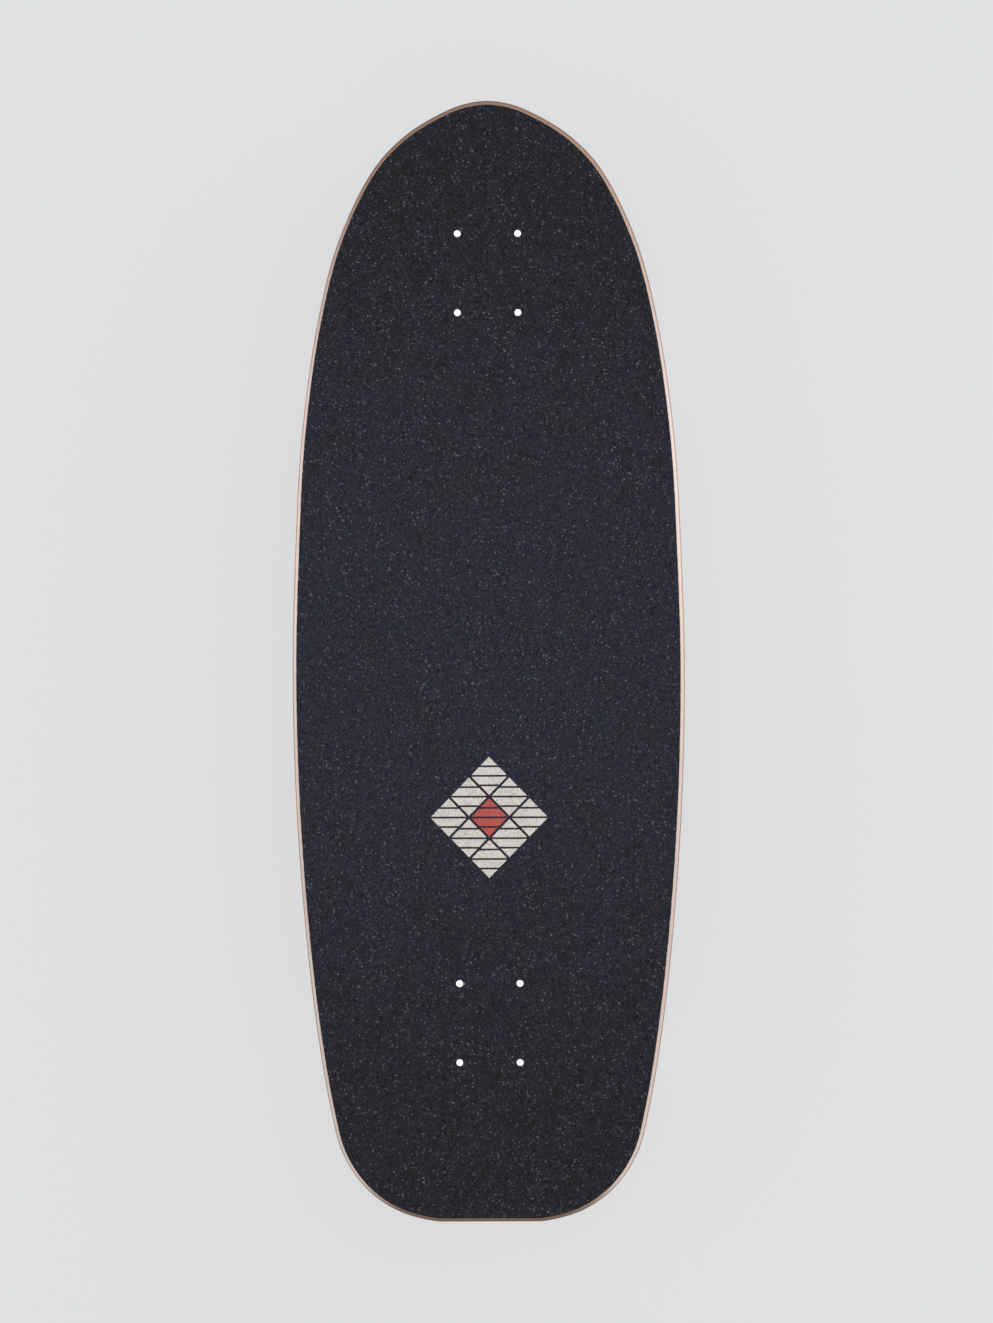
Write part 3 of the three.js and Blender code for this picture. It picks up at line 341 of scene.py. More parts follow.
@dataclass(frozen=True)
class Maple(Finish):
    """Rotary-cut rock maple veneer: close straight grain along the board, and darker end grain."""

    grain_mm: float = 1.6
    relief_mm: float = 0.02
    edge: str = "B98C66"  # sawn and sanded edge, drawn darker: partly the wood's own colour, partly painted shade of the rounded rail
    end: str = "7C5439"  # end grain, which drinks the lacquer and goes dark
    end_painted_light: str = "8F5A31"  # and the end grain with a painted highlight, on the right of the nose
    fibre_mm: float = 1.6
    stretch: Point = (1.0, 0.045, 1.0)  # the grain runs along the board
    tone_levels: Point = (0.36, 0.62)
    sawn_levels: Point = (0.97, 0.55)  # how level a face is, and how steep its sawn edge
    chip_mm: float = 2.6  # size of the patches that the saw left rough
    chip_share: float = 0.75  # and how much of the edge's colour they show
    fuzz: Point = (1.1, 0.84)  # brightness of the edge between its fibres and on them
    nose: float = 0.95  # how much of the end grain shows at the nose
    tail: float = 0.95  # and at the tail
    nose_places: Point = (0.14, 0.372)  # metres along the board between which it comes in
    tail_places: Point = (-0.379, -0.35)
    painted_light_reach: float = 0.07  # metres across the board over which that painted highlight comes in
    face_share: Point = (0.9, 0.76)  # how much of it shows on a ply's face, to the left and to the right; less on the right, which is painted lighter
    edge_share: float = 1.05  # and on its sawn edge
    tail_shade_places: Point = (-0.14, 0.03)  # metres along the board over which the painted shade on the tail half fades out
    wear_and_painted_shade: float = 0.78  # brightness of that painted shade, towards the tail

    def pattern(self, tree: Tree, place: Socket) -> dict[str, Node]:
        """Grain, figure and end grain, with a painted highlight on the right of the nose and painted shade
        towards the tail; see the base class for the arguments and what comes back.
        """
        along_board = add(tree, "Mapping", {"Vector": place, "Scale": self.stretch})
        fine = {"Vector": along_board, "Scale": per_mm(self.fibre_mm), "Detail": 5.0, "Roughness": 0.6}
        fibre = add(tree, "TexNoise", fine)
        broad = {"Vector": along_board, "Scale": per_mm(self.patch_mm), "Detail": 2.0, "Distortion": 0.6}
        both = add(tree, "Mix", {0: 0.5, 2: fibre, 3: add(tree, "TexNoise", broad)})
        low, high = self.tone_levels
        tone = add(tree, "MapRange", {0: both, 1: low, 2: high})
        face = add(tree, "Mix", {0: tone, 6: linear(self.colour), 7: linear(self.shade)}, data_type="RGBA")
        # steep faces take the edge's colour, partly painted shade where the rail turns away
        facing = add(tree, "SeparateXYZ", {0: add(tree, "NewGeometry").outputs["Normal"]})
        flat = add(tree, "Math", {0: facing.outputs["Z"]}, operation="ABSOLUTE")
        level, steep = self.sawn_levels
        sawn = add(tree, "MapRange", {0: flat, 1: level, 2: steep})
        chips = add(tree, "TexNoise", {"Vector": place, "Scale": per_mm(self.chip_mm), "Detail": 3.0})
        rough_cut = add(tree, "MapRange", {0: chips, 1: LEAST, 2: MOST, 3: self.chip_share, 4: 1.0})
        share = add(tree, "Math", {0: sawn, 1: rough_cut}, operation="MULTIPLY")
        between, on_fibre = self.fuzz
        fuzz = add(tree, "MapRange", {0: fibre, 1: LOW, 2: HIGH, 3: between, 4: on_fibre})
        sanded = add(tree, "VectorMath", {0: linear(self.edge)[:3], "Scale": fuzz}, operation="SCALE")
        wood = add(tree, "Mix", {0: share, 6: face, 7: sanded}, data_type="RGBA")
        axes = add(tree, "SeparateXYZ", {0: place})
        start, end = self.nose_places
        rising = {0: axes.outputs["Y"], 1: start, 2: end, 3: 0.0, 4: self.nose}
        nose = add(tree, "MapRange", rising, interpolation_type="SMOOTHSTEP")
        # painted highlight: the right of the nose is drawn lighter and more golden, as if lit from the right
        lean = add(tree, "MapRange", {0: axes.outputs["X"], 1: 0.0, 2: self.painted_light_reach})
        left, right = self.face_share
        skin = add(tree, "MapRange", {0: lean, 3: left, 4: right})
        depth = add(tree, "MapRange", {0: sawn, 3: skin, 4: self.edge_share})
        soaked = add(tree, "Math", {0: nose, 1: depth}, operation="MULTIPLY")
        start, end = self.tail_places
        falling = {0: axes.outputs["Y"], 1: start, 2: end, 3: self.tail, 4: 0.0}
        tail = add(tree, "MapRange", falling, interpolation_type="SMOOTHSTEP")
        shown = add(tree, "Math", {0: soaked, 1: tail}, operation="MAXIMUM")
        painted_light_mask = add(tree, "Math", {0: lean, 1: nose}, operation="MULTIPLY")
        tones = {0: painted_light_mask, 6: linear(self.end), 7: linear(self.end_painted_light)}
        ends = {0: shown, 6: wood, 7: add(tree, "Mix", tones, data_type="RGBA")}
        # painted shade: the wood is drawn darker towards the tail, as if lit from the nose
        start, end = self.tail_shade_places
        wear_and_painted_shade = add(tree, "MapRange", {0: axes.outputs["Y"], 1: start, 2: end, 3: self.wear_and_painted_shade, 4: 1.0})
        all_over = {0: add(tree, "Mix", ends, data_type="RGBA"), "Scale": wear_and_painted_shade}
        colour = add(tree, "VectorMath", all_over, operation="SCALE")
        return {"Base Color": colour, "Normal": self.relief(tree, along_board)}


@dataclass(frozen=True)
class LatheFinish(Finish):
    """A surface off the lathe, with fine rings round the axle that the tool leaves."""

    ring_mm: float = 0.7
    ring_height: float = 0.6  # how much of their relief shows

    def relief(self, tree: Tree, place: Socket | Node) -> Node:
        """The tool's rings; see the base class for the arguments and what comes back."""
        side = add(tree, "VectorMath", {0: place, 1: ACROSS}, operation="DOT_PRODUCT")
        rings = {"W": side, "Scale": per_mm(self.ring_mm), "Detail": 2.0}
        grooves = add(tree, "TexNoise", rings, noise_dimensions="1D")
        relief = {"Height": grooves, "Distance": self.relief_mm * MM, "Strength": self.ring_height}
        return add(tree, "Bump", relief)


# Grit glued on dyed cloth and left matt: it swallows the light, and a few grains get a painted glint in their
# colour.
GRIP = GripTape("grip_silicon_carbide", "grip", "2B2C3B", "2B2B2F", patch_mm=16.0, relief_mm=0.1,
                roughness=0.92, specular=0.15)
# Screen-printed ink on the grit: a flat chalky colour that the grains break up.
INK_WHITE = replace(GRIP, name="printed_ink_white", relief_mm=0.08, roughness=0.85, ink="DAD5CE")
INK_RED = replace(INK_WHITE, name="printed_ink_red", ink="BC5A55")
# The film that the grit is glued on shows pinkish grey where the grit has chipped off.
FILM = Finish("grip_backing_film", "grip", "8C7B7A", "7A6B6B", patch_mm=1.5, grain_mm=0.5, relief_mm=0.02,
              roughness=0.7)
# Lacquered maple, its sawn edge sanded round: satin, pinkish cream on the face, tan where it was sawn, partly
# as painted shade of the rounded rail.
MAPLE_FACE = Maple("maple_face_veneer", "maple", "FDEBE0", "F6DFD2", patch_mm=14.0, coat=(0.25, 0.25),
                   edge="D3B09E")
MAPLE_TAN = Maple("maple_tan_veneer", "maple", "D2A98C", "BF9273", patch_mm=10.0, roughness=0.6,
                  edge="B98F78", end="664435", end_painted_light="7A5233", tail=1.0)
MAPLE_CREAM = Maple("maple_cream_veneer", "maple", "E6D0BB", "DABA9F", patch_mm=10.0, roughness=0.6,
                    edge="DDBFA9", end="6F4E3C", end_painted_light="80583A", tail=0.8)
MAPLE_BOTTOM = Maple("maple_bottom_veneer", "maple", "E3C39C", "D0A679", patch_mm=16.0, relief_mm=0.015,
                     roughness=0.35, coat=(0.6, 0.1), edge="CBA07A", nose=0.2, tail=0.25)
# Bright zinc plate on steel: bluish silver, slightly clouded by the bath.
ZINC = Finish("zinc_plated_steel", "zinc", "E6E9ED", "D5D9DE", patch_mm=3.0, grain_mm=0.5, relief_mm=0.004,
              roughness=0.26, gloss_spread=0.05, metallic=1.0)
# Cast aluminium, tumbled: pale grey and satin, with a pebbled skin.
CAST = Finish("cast_aluminium_tumbled", "cast_alloy", "B9BBBD", "A6A8AB", patch_mm=9.0, grain_mm=1.1,
              relief_mm=0.05, roughness=0.4, gloss_spread=0.09, metallic=1.0)
# Cast aluminium under black powder coat: satin black with an even orange peel.
POWDER = Finish("powder_coated_casting_black", "black_alloy", "1D1E21", "25262A", patch_mm=14.0, grain_mm=1.0,
                relief_mm=0.05, roughness=0.42, gloss_spread=0.06, coat=(0.2, 0.3))
# Cold-drawn steel off the lathe: cool grey, with fine rings that stretch each highlight along the shaft.
SHAFT = LatheFinish("steel_turned_axle", "steel", "B4B7BA", "A5A8AC", patch_mm=8.0, relief_mm=0.006,
                    roughness=0.28, gloss_spread=0.06, metallic=1.0)
# Hardened steel under black oxide, as kingpins are: dark, oiled.
KINGPIN = Finish("steel_black_oxide", "steel", "4A4B4E", "3B3C3F", patch_mm=5.0, grain_mm=0.6,
                 relief_mm=0.006, roughness=0.36, gloss_spread=0.07, metallic=1.0)
# Ground bearing steel: nearly a mirror, with a faint haze.
RACE = Finish("bearing_steel_ground", "steel", "C4C7CA", "B5B8BC", patch_mm=6.0, grain_mm=0.5,
              relief_mm=0.003, roughness=0.22, gloss_spread=0.04, metallic=1.0)
# Moulded nitrile seal: satin black between the bright races.
SHIELD = Finish("bearing_seal_nitrile", "steel", "26272A", "303134", patch_mm=4.0, grain_mm=0.5,
                relief_mm=0.01, roughness=0.55)
# Sintered bronze soaked in oil: dull gold, with tiny pores.
BRONZE = Finish("sintered_bronze", "bronze", "B5915A", "9C7A46", patch_mm=2.0, grain_mm=0.5, relief_mm=0.02,
                roughness=0.42, metallic=1.0)
# Spring steel under red powder coat: a smooth red with soft-edged highlights.
SPRING = Finish("spring_steel_powder_red", "spring_steel", "B5372E", "A52F28", patch_mm=6.0, grain_mm=0.7,
                relief_mm=0.012, roughness=0.34, gloss_spread=0.05, coat=(0.35, 0.15))
# Cast polyurethane: milky, soft-edged light inside, satin where the tread was ground.
WHEEL = Finish("urethane_cast_off_white", "wheel", "ECE8DD", "E8E4D8", patch_mm=24.0, grain_mm=0.9,
               relief_mm=0.02, roughness=0.42, gloss_spread=0.07, milky=(0.18, 0.004))
TREAD = LatheFinish("urethane_ground_tread", "wheel", "E9E5DA", "E4DFD3", patch_mm=20.0, relief_mm=0.09,
                    ring_mm=0.9, roughness=0.66, gloss_spread=0.04, milky=(0.15, 0.004))
# Cast polyurethane dyed red: waxy, a little light goes into it.
BUSHING = Finish("urethane_bushing_red", "bushing", "B03A33", "A2332E", patch_mm=6.0, relief_mm=0.01,
                 roughness=0.36, gloss_spread=0.06, milky=(0.2, 0.003))
# Moulded rubber: almost black and matt, with the mould's fine grain.
RUBBER = Finish("rubber_moulded_black", "black_rubber", "1E1E20", "272729", patch_mm=10.0, grain_mm=0.9,
                relief_mm=0.04, roughness=0.72)
# The nylon ring of a lock nut: milky white, slightly waxy.
NYLON = Finish("nylon_insert", "zinc", "E9EBEE", "DDE2E8", patch_mm=2.0, grain_mm=0.5, relief_mm=0.005,
               roughness=0.45)


# Making shapes


class Way(Enum):
    """How one shape acts on another."""

    CUT = "DIFFERENCE"
    KEEP = "INTERSECT"
    JOIN = "UNION"


def lift(height: float) -> Matrix:
    """A place straight up the axis."""
    return Matrix.Translation((0, 0, height))


def along(start: Vector, direction: Vector) -> Matrix:
    """The place of a shape made round +Z, so that it starts at a point and runs along a direction."""
    return Matrix.Translation(start) @ UP.rotation_difference(direction).to_matrix().to_4x4()


def placed(name: str, data: bpy.types.ID) -> bpy.types.Object:
    """Puts a new object in the scene.

    Args:
        name: the object's name.
        data: its mesh, camera or lamp.

    Returns:
        The object.
    """
    made = bpy.data.objects.new(name, data)
    bpy.context.scene.collection.objects.link(made)
    return made


def solid(name: str, shape: Shape) -> bpy.types.Object:
    """Puts a shape in the scene.

    Args:
        name: the name of its object and mesh.
        shape: the shape, which is used up.

    Returns:
        The object.
    """
    mesh = bpy.data.meshes.new(name)
    shape.to_mesh(mesh)
    shape.free()
    return placed(name, mesh)


def moved(shape: Shape, place: Matrix) -> Shape:
    """The same shape at another place."""
    bmesh.ops.transform(shape, matrix=place, verts=shape.verts)
    return shape


def inlaid(shape: Shape) -> Shape:
    """Gives a shape the second of its piece's materials.

    Args:
        shape: the shape, which is changed.

    Returns:
        The same shape.
    """
    for face in shape.faces:
        face.material_index = 1
    return shape


def only(kind: type, found: Iterable) -> list:
    """The corners, edges or faces among what an operator gives back."""
    return [part for part in found if isinstance(part, kind)]


def score(shape: Shape, point: Point, across: Vector, near: float = 0.0) -> None:
    """Adds a line of edges where a plane crosses a shape, or moves it onto corners that are this near."""
    everything = shape.verts[:] + shape.edges[:] + shape.faces[:]
    bmesh.ops.bisect_plane(shape, geom=everything, dist=near, plane_co=point, plane_no=across)


def rounded(shape: Shape, chosen: list, radius: float, segments: int = 4, affect: str = "EDGES") -> None:
    """Rounds some of a shape's edges, or some of its corners."""
    bmesh.ops.bevel(shape, geom=chosen, offset=radius, offset_type="OFFSET", affect=affect, segments=segments,
                    profile=0.5, material=-1, clamp_overlap=True)


def together(shapes: Iterable[Shape]) -> Shape:
    """Several shapes as one, not joined where they cross.

    Args:
        shapes: closed shapes; they are used up.

    Returns:
        One shape with all their faces.
    """
    whole = bmesh.new()
    for shape in shapes:
        carrier = solid("carrier", shape)
        whole.from_mesh(carrier.data)
        bpy.data.meshes.remove(carrier.data)
    return whole


def after(shape: Shape, steps: list[tuple[str, dict]]) -> Shape:
    """A shape after some of Blender's modifiers.

    Args:
        shape: the shape, which is used up.
        steps: each modifier's type and its settings.

    Returns:
        The shape that comes out.
    """
    passing = solid("blank", shape)
    for kind, settings in steps:
        modifier = passing.modifiers.new(kind, kind)
        for key, value in settings.items():
            setattr(modifier, key, value)
    made = bmesh.new()
    made.from_object(passing, bpy.context.evaluated_depsgraph_get())
    bpy.data.meshes.remove(passing.data)
    return made


def carved(shape: Shape, tools: Iterable[Shape], way: Way = Way.CUT) -> Shape:
    """A shape cut by tools, kept inside them or joined to them.

    Args:
        shape: the closed shape to work on, which is used up.
        tools: closed shapes, used one after another and used up.
        way: what each tool does.

    Returns:
        The shape that is left.
    """
    others = [solid("blank", tool) for tool in tools]
    how = {"operation": way.value, "solver": "MANIFOLD"}
    made = after(shape, [("BOOLEAN", {**how, "object": other}) for other in others])
    for other in others:
        bpy.data.meshes.remove(other.data)
    return made


def turned(outline: Iterable[Point], segments: int = PLAIN) -> Shape:
    """Turns a closed outline round the Z axis.

    Args:
        outline: each corner's radius and height and, if it is rounded, how much.
        segments: facets round the axis.

    Returns:
        A closed shape with its faces outwards.
    """
    shape = bmesh.new()
    corners = [(shape.verts.new((corner[0], 0, corner[1])), corner[2:]) for corner in outline]
    verts = [vert for vert, _ in corners]
    for one, other in zip(verts, verts[1:] + verts[:1]):
        if one.co.x > 0 or other.co.x > 0:
            shape.edges.new((one, other))
    for size in sorted({rounding[0] for _, rounding in corners if rounding}):
        chosen = [vert for vert, rounding in corners if rounding and rounding[0] == size]
        rounded(shape, chosen, size, affect="VERTICES")
    bmesh.ops.spin(shape, geom=shape.verts[:] + shape.edges[:], cent=(0, 0, 0), axis=UP, angle=math.tau,
                   steps=segments, use_merge=True)
    bmesh.ops.remove_doubles(shape, verts=shape.verts, dist=TOUCHING)
    bmesh.ops.recalc_face_normals(shape, faces=shape.faces)
    return shape


def rod(radius: float, length: float, place: Matrix, segments: int = PLAIN) -> Shape:
    """A plain cylinder that runs upwards from a place."""
    return moved(turned([(0, 0), (radius, 0), (radius, length), (0, length)], segments), place)


def threaded(radius: float, tip: float, root: float, pitch: float, chamfer: float) -> list[Point]:
    """Outline of the threaded end of a bolt.

    Args:
        radius: outside the thread.
        tip: height of the end.
        root: height of the thread's last crest.
        pitch: from crest to crest.
        chamfer: how far the end is turned off.

    Returns:
        Radii and heights, from the axis outwards and along the thread.
    """
    first = tip + math.copysign(chamfer, root - tip)
    turns = max(1, round(abs(root - first) / pitch))
    step = (root - first) / turns / 2
    crests = [(radius - (i % 2) * pitch * 0.5, first + i * step) for i in range(2 * turns + 1)]
    return [(0, tip), (radius - chamfer, tip), *crests]


def hex_corner(across_flats: float) -> float:
    """Distance from the axis of a hexagon to its corners."""
    return across_flats / 2 / math.cos(math.pi / 6)


def hexagon(across_flats: float, height: float, bore: float = 0.0, chamfer: float = 0.6) -> Shape:
    """A nut or bolt head from z = 0 upwards, its corners turned off at both ends.

    Args:
        across_flats: from one flat to the opposite one.
        height: along its axis.
        bore: radius of its hole, or 0.
        chamfer: how far the corners are turned off.

    Returns:
        A closed shape.
    """
    corner, margin, mouth = hex_corner(across_flats), 0.1, 0.5
    prism = bmesh.new()
    bmesh.ops.create_cone(prism, cap_ends=True, segments=6, radius1=corner, radius2=corner, depth=height,
                          matrix=lift(height / 2) @ Matrix.Rotation(math.pi / 6, 4, "Z"))
    face, outside = across_flats / 2 - margin, corner + margin
    barrel = turned([(0, 0), (face, 0), (outside, chamfer), (outside, height - chamfer), (face, height),
                     (0, height)])
    shape = carved(prism, [barrel], Way.KEEP)
    if bore:
        flare = bore + mouth + BEYOND
        drill = turned([(0, -BEYOND), (flare, -BEYOND), (bore, mouth), (bore, height - mouth),
                        (flare, height + BEYOND), (0, height + BEYOND)])
        shape = carved(shape, [drill])
    return shape


def hull(circles: Iterable[tuple[Vector, Vector, float]]) -> Shape:
    """The skin stretched over a few circles.

    Args:
        circles: each one's centre, the direction that it faces and its radius.

    Returns:
        A closed shape.
    """
    shape = bmesh.new()
    for centre, direction, radius in circles:
        bmesh.ops.create_circle(shape, segments=CAST_SIDES, radius=radius, matrix=along(centre, direction))
    bmesh.ops.convex_hull(shape, input=shape.verts)
    return shape


def block(low: Point, high: Point) -> Shape:
    """A box between two corners.

    Args:
        low: lowest corner.
        high: highest corner.

    Returns:
        A closed shape.
    """
    size = Vector(high) - Vector(low)
    middle = (Vector(high) + Vector(low)) / 2
    shape = bmesh.new()
    bmesh.ops.create_cube(shape, size=1.0, matrix=Matrix.Translation(middle) @ Matrix.Diagonal((*size, 1)))
    return shape


def trimmer() -> Shape:
    """A tool that takes off all that stands above z = 0."""
    return block((-WIDE, -WIDE, 0), (WIDE, WIDE, BEYOND))


def plate(width: float, length: float, low: float, high: float, corner: float, edge: float = 0.0) -> Shape:
    """A flat plate with round corners.

    Args:
        width: across the board.
        length: along the board.
        low: height of its lower face.
        high: height of its upper face.
        corner: radius of its four corners.
        edge: radius of its rims, or 0.

    Returns:
        A closed shape.
    """
    shape = block((-width / 2, -length / 2, low), (width / 2, length / 2, high))
    upright = [e for e in shape.edges if abs(e.verts[0].co.z - e.verts[1].co.z) > TOUCHING]
    rounded(shape, upright, corner, segments=10)
    if edge:
        rounded(shape, [e for e in shape.edges if abs(e.verts[0].co.z - e.verts[1].co.z) < TOUCHING], edge)
    return shape


def bolt_holes(place: Matrix) -> list[Shape]:
    """Tools for the four bolt holes of a plate, by the place of its middle."""
    return [rod(STACK.bolt_hole_radius, 2 * BEYOND, place @ Matrix.Translation((x, y, -BEYOND)))
            for x, y in STACK.bolt_places(0)]


def cast(parts: Iterable[Shape], passes: int) -> Shape:
    """Melts crossing shapes into one casting with soft fillets, smoothed a number of times."""
    return after(together(parts), [("REMESH", {"mode": "VOXEL", "voxel_size": CAST_GRAIN}),
                                   ("SMOOTH", {"factor": 0.5, "iterations": passes})])


def finished(name: str, shape: Shape, finishes: list[Finish], body: str = "", place: Optional[Matrix] = None,
             nodes: Iterable[str] = ()) -> bpy.types.Object:
    """Turns a shape into a piece of the board.

    Args:
        name: the piece's name.
        shape: its shape in millimetres, which is used up.
        finishes: its materials, in the order of the faces' material numbers.
        body: the body that it rides on, or nothing.
        place: where it goes.
        nodes: the solids that it stands for.

    Returns:
        The piece.
    """
    piece = solid(name, moved(shape, Matrix.Scale(MM, 4) @ (place or Matrix())))
    piece.data.shade_smooth()
    piece.data.set_sharp_from_angle(angle=CREASE)
    for finish in finishes:
        piece.data.materials.append(finish.material())
    if body:
        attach(piece, body)
    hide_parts(*nodes)
    LOG.info("%s: %d faces", name, len(piece.data.polygons))
    return piece


# The deck


@dataclass
class Deck:
    """Seven pressed maple plies under grip tape."""

    edge_radius: float = 3.2
    flat_half_width: float = 40.0
    concave_rise: float = 7.0
    tail_kick_angle: float = math.radians(14)
    tail_kick_bend: float = 50.0
    tail_kick_length: float = 90.0
    nose_lift_angle: float = math.radians(6)
    nose_lift_bend: float = 60.0
    nose_lift_length: float = 74.0
    sink_radius: float = 4.9
    sink_depth: float = 2.516
    span_steps: int = 14
    hole_steps: int = 32
    rail_step: float = 5.5  # the mesh follows the curves with lines this far apart
    bend_step: float = 4.0
    grip_margin: float = 2.7
    grip_slope: float = 0.15  # how far the tape's cut edge leans in
    grip_hole_radius: float = 2.36
    ragged: float = 0.08  # how unevenly the tape was trimmed
    grip_shift: Point = (-0.2, -0.35, 0.0)  # how far off the middle it was laid
    nose_trim: float = 0.3  # how much closer to the edge it was cut at the nose
    nose_trim_start: float = 60.0
    nose_trim_end: float = 215.0
    film: float = 0.25  # thickness of the film under the grit
    chipped_hole: int = 4
    chip_reach: float = 2.1  # how far the grit is missing beside that hole
    chip_least: float = 0.02  # and how far all round it
    chip_angles: Point = (-52.0, 8.0, 20.0)  # where the chip starts, reaches furthest and ends
    outline_shares: tuple[Point, ...] = (
        (0.112, 0.0026), (0.2238, 0.01), (0.4137, 0.03), (0.5777, 0.06), (0.7604, 0.125), (0.8704, 0.2),
        (0.9507, 0.3), (0.9839, 0.4), (1.0, 0.515), (0.9772, 0.65), (0.9025, 0.8), (0.8135, 0.9),
        (0.7513, 0.94), (0.6351, 0.97), (0.4734, 0.99), (0.26, 1.0),
    )  # how wide the board is and how far down it, as shares of its width and length
    plies: tuple[Finish, ...] = (MAPLE_FACE, *(MAPLE_TAN, MAPLE_CREAM) * 2, MAPLE_TAN, MAPLE_BOTTOM)
    dice: random.Random = field(default_factory=lambda: random.Random(7))

    def bend(self, distance: float, angle: float, curve: float) -> float:
        """Rise of a bend that starts level, curves for a while and runs straight.

        Args:
            distance: from where it starts.
            angle: of the straight part.
            curve: length of the curved part.

        Returns:
            Height above the start.
        """
        if distance <= 0:
            return 0.0
        slope = math.tan(angle)
        return slope * distance**2 / (2 * curve) if distance < curve else slope * (distance - curve / 2)

    def rise(self, x: float, y: float) -> float:
        """The form that the deck is pressed to.

        Args:
            x: a place across the board.
            y: a place along the board.

        Returns:
            Height there above the deck's flat middle.
        """
        half = STACK.deck_length / 2
        rail = max(0.0, abs(x) - self.flat_half_width) / (STACK.deck_width / 2 - self.flat_half_width)
        tail = self.bend(self.tail_kick_length - half - y, self.tail_kick_angle, self.tail_kick_bend)
        nose = self.bend(y - half + self.nose_lift_length, self.nose_lift_angle, self.nose_lift_bend)
        return self.concave_rise * rail**2 + tail + nose

    def outline(self, steps: int) -> list[tuple[Vector, Vector]]:
        """The smooth outline of the deck, clockwise from the nose.

        Args:
            steps: points between two of the outline's own.

        Returns:
            Each point with the direction inwards from it.
        """
        half_width, length = STACK.deck_width / 2, STACK.deck_length
        right = [Vector((width * half_width, length / 2 - down * length, 0))
                 for width, down in self.outline_shares]
        left = [Vector((-p.x, p.y, 0)) for p in reversed(right)]
        knots = [Vector((0, length / 2, 0)), *right, Vector((0, -length / 2, 0)), *left]
        line: list[Vector] = []
        for i in range(len(knots)):
            a, b, c, d = (knots[(i + k) % len(knots)] for k in (-1, 0, 1, 2))
            before, span, behind = ((q - p).length ** 0.5 for p, q in ((a, b), (b, c), (c, d)))
            leave = ((b - a) / before - (c - a) / (before + span) + (c - b) / span) * span
            arrive = ((c - b) / span - (d - b) / (span + behind) + (d - c) / behind) * span
            line += interpolate_bezier(b, b + leave / 3, c - arrive / 3, c, steps + 1)[:-1]
        line = [Vector((p.x, max(p.y, -length / 2), 0)) for p in line]
        ahead = [(line[(i + 1) % len(line)] - line[i - 1]).normalized() for i in range(len(line))]
        return [(point, Vector((way.y, -way.x, 0))) for point, way in zip(line, ahead)]

    def rail_inset(self, depth: float) -> float:
        """The rounding of the rail.

        Args:
            depth: below the deck's top.

        Returns:
            How far the rail is drawn in there.
        """
        from_face = min(depth, STACK.deck_thickness - depth)
        in_round = max(0.0, self.edge_radius - from_face)
        return self.edge_radius - math.sqrt(self.edge_radius**2 - in_round**2)

    def sink(self, depth: float) -> float:
        """Radius of a bolt hole at a depth below the deck's top."""
        slope = (self.sink_radius - STACK.bolt_hole_radius) / self.sink_depth
        return max(STACK.bolt_hole_radius, self.sink_radius - slope * depth)

    def chip(self, angle: float) -> float:
        """The chip in the grip beside one hole.

        Args:
            angle: round the hole, in degrees.

        Returns:
            How much grip is missing there.
        """
        start, peak, end = self.chip_angles
        turn = (angle + 180) % 360 - 180
        if start < turn < peak:
            return self.chip_reach * (turn - start) / (peak - start)
        return self.chip_reach * (end - turn) / (end - peak) if peak <= turn < end else 0.0

    def cut_closer(self, y: float) -> float:
        """How much closer to the edge the tape was cut, at a place along the board."""
        share = (y - self.nose_trim_start) / (self.nose_trim_end - self.nose_trim_start)
        return self.nose_trim * min(1.0, max(0.0, share))

    def hole(self, x: float, y: float, radius: float, chipped: float) -> list[Vector]:
        """The rim of a bolt hole.

        Args:
            x: its middle across the board.
            y: its middle along the board.
            radius: of the hole.
            chipped: how much of the chip beside it shows, from 0 to 1.

        Returns:
            Its points, anticlockwise.
        """
        rim = []
        for turn in (360 * i / self.hole_steps for i in range(self.hole_steps)):
            reach = radius + chipped * (self.chip(turn) + self.chip_least)
            angle = math.radians(turn)
            rim.append(Vector((x + reach * math.cos(angle), y + reach * math.sin(angle), 0)))
        return rim

    def layer(self, levels: list[Point], steps: int, ragged: float = 0.0, shift: Point = (0, 0, 0)) -> Shape:
        """One sheet of the deck, flat at first and then pressed.

        Args:
            levels: from the top down, the depth below the deck's top, the inset, the radius of the holes and
                how much of the chip beside one of them shows.
            steps: points between two of the outline's own.
            ragged: how unevenly its edge is trimmed.
            shift: how far off the middle its edge lies.

        Returns:
            A closed shape; a ledge inside it has material 1.
        """
        shape = bmesh.new()
        places = STACK.bolt_places(STACK.front_bolts_y) + STACK.bolt_places(STACK.rear_bolts_y)
        line = self.outline(steps)
        trim = [self.dice.uniform(-ragged, ragged) - (self.cut_closer(point.y) if ragged else 0.0)
                for point, _ in line]
        rings: list[list[list[bmesh.types.BMEdge]]] = []
        for depth, inset, radius, chipped in levels:
            loops = [[point + inwards * (inset + uneven) + Vector(shift)
                      for (point, inwards), uneven in zip(line, trim)]]
            loops += [self.hole(x, y, radius, chipped if number == self.chipped_hole else 0.0)
                      for number, (x, y) in enumerate(places)]
            made = []
            for loop in loops:
                verts = [shape.verts.new((p.x, p.y, STACK.deck_top - depth)) for p in loop]
                made.append([shape.edges.new(pair) for pair in zip(verts, verts[1:] + verts[:1])])
            rings.append(made)
        for upper, lower in zip(rings, rings[1:]):
            for one, other in zip(upper, lower):
                if any((a.verts[0].co - b.verts[0].co).length > TOUCHING for a, b in zip(one, other)):
                    bmesh.ops.bridge_loops(shape, edges=one + other)
        for face in (rings[0], rings[-1]):
            bmesh.ops.triangle_fill(shape, use_beauty=True, edges=[edge for loop in face for edge in loop])
        bmesh.ops.remove_doubles(shape, verts=shape.verts, dist=TOUCHING)
        for height in (STACK.deck_top - level[0] for level in levels[1:-1]):
            for face in shape.faces:
                if all(abs(vert.co.z - height) < TOUCHING for vert in face.verts):
                    face.material_index = 1
        self.press(shape)
        return shape

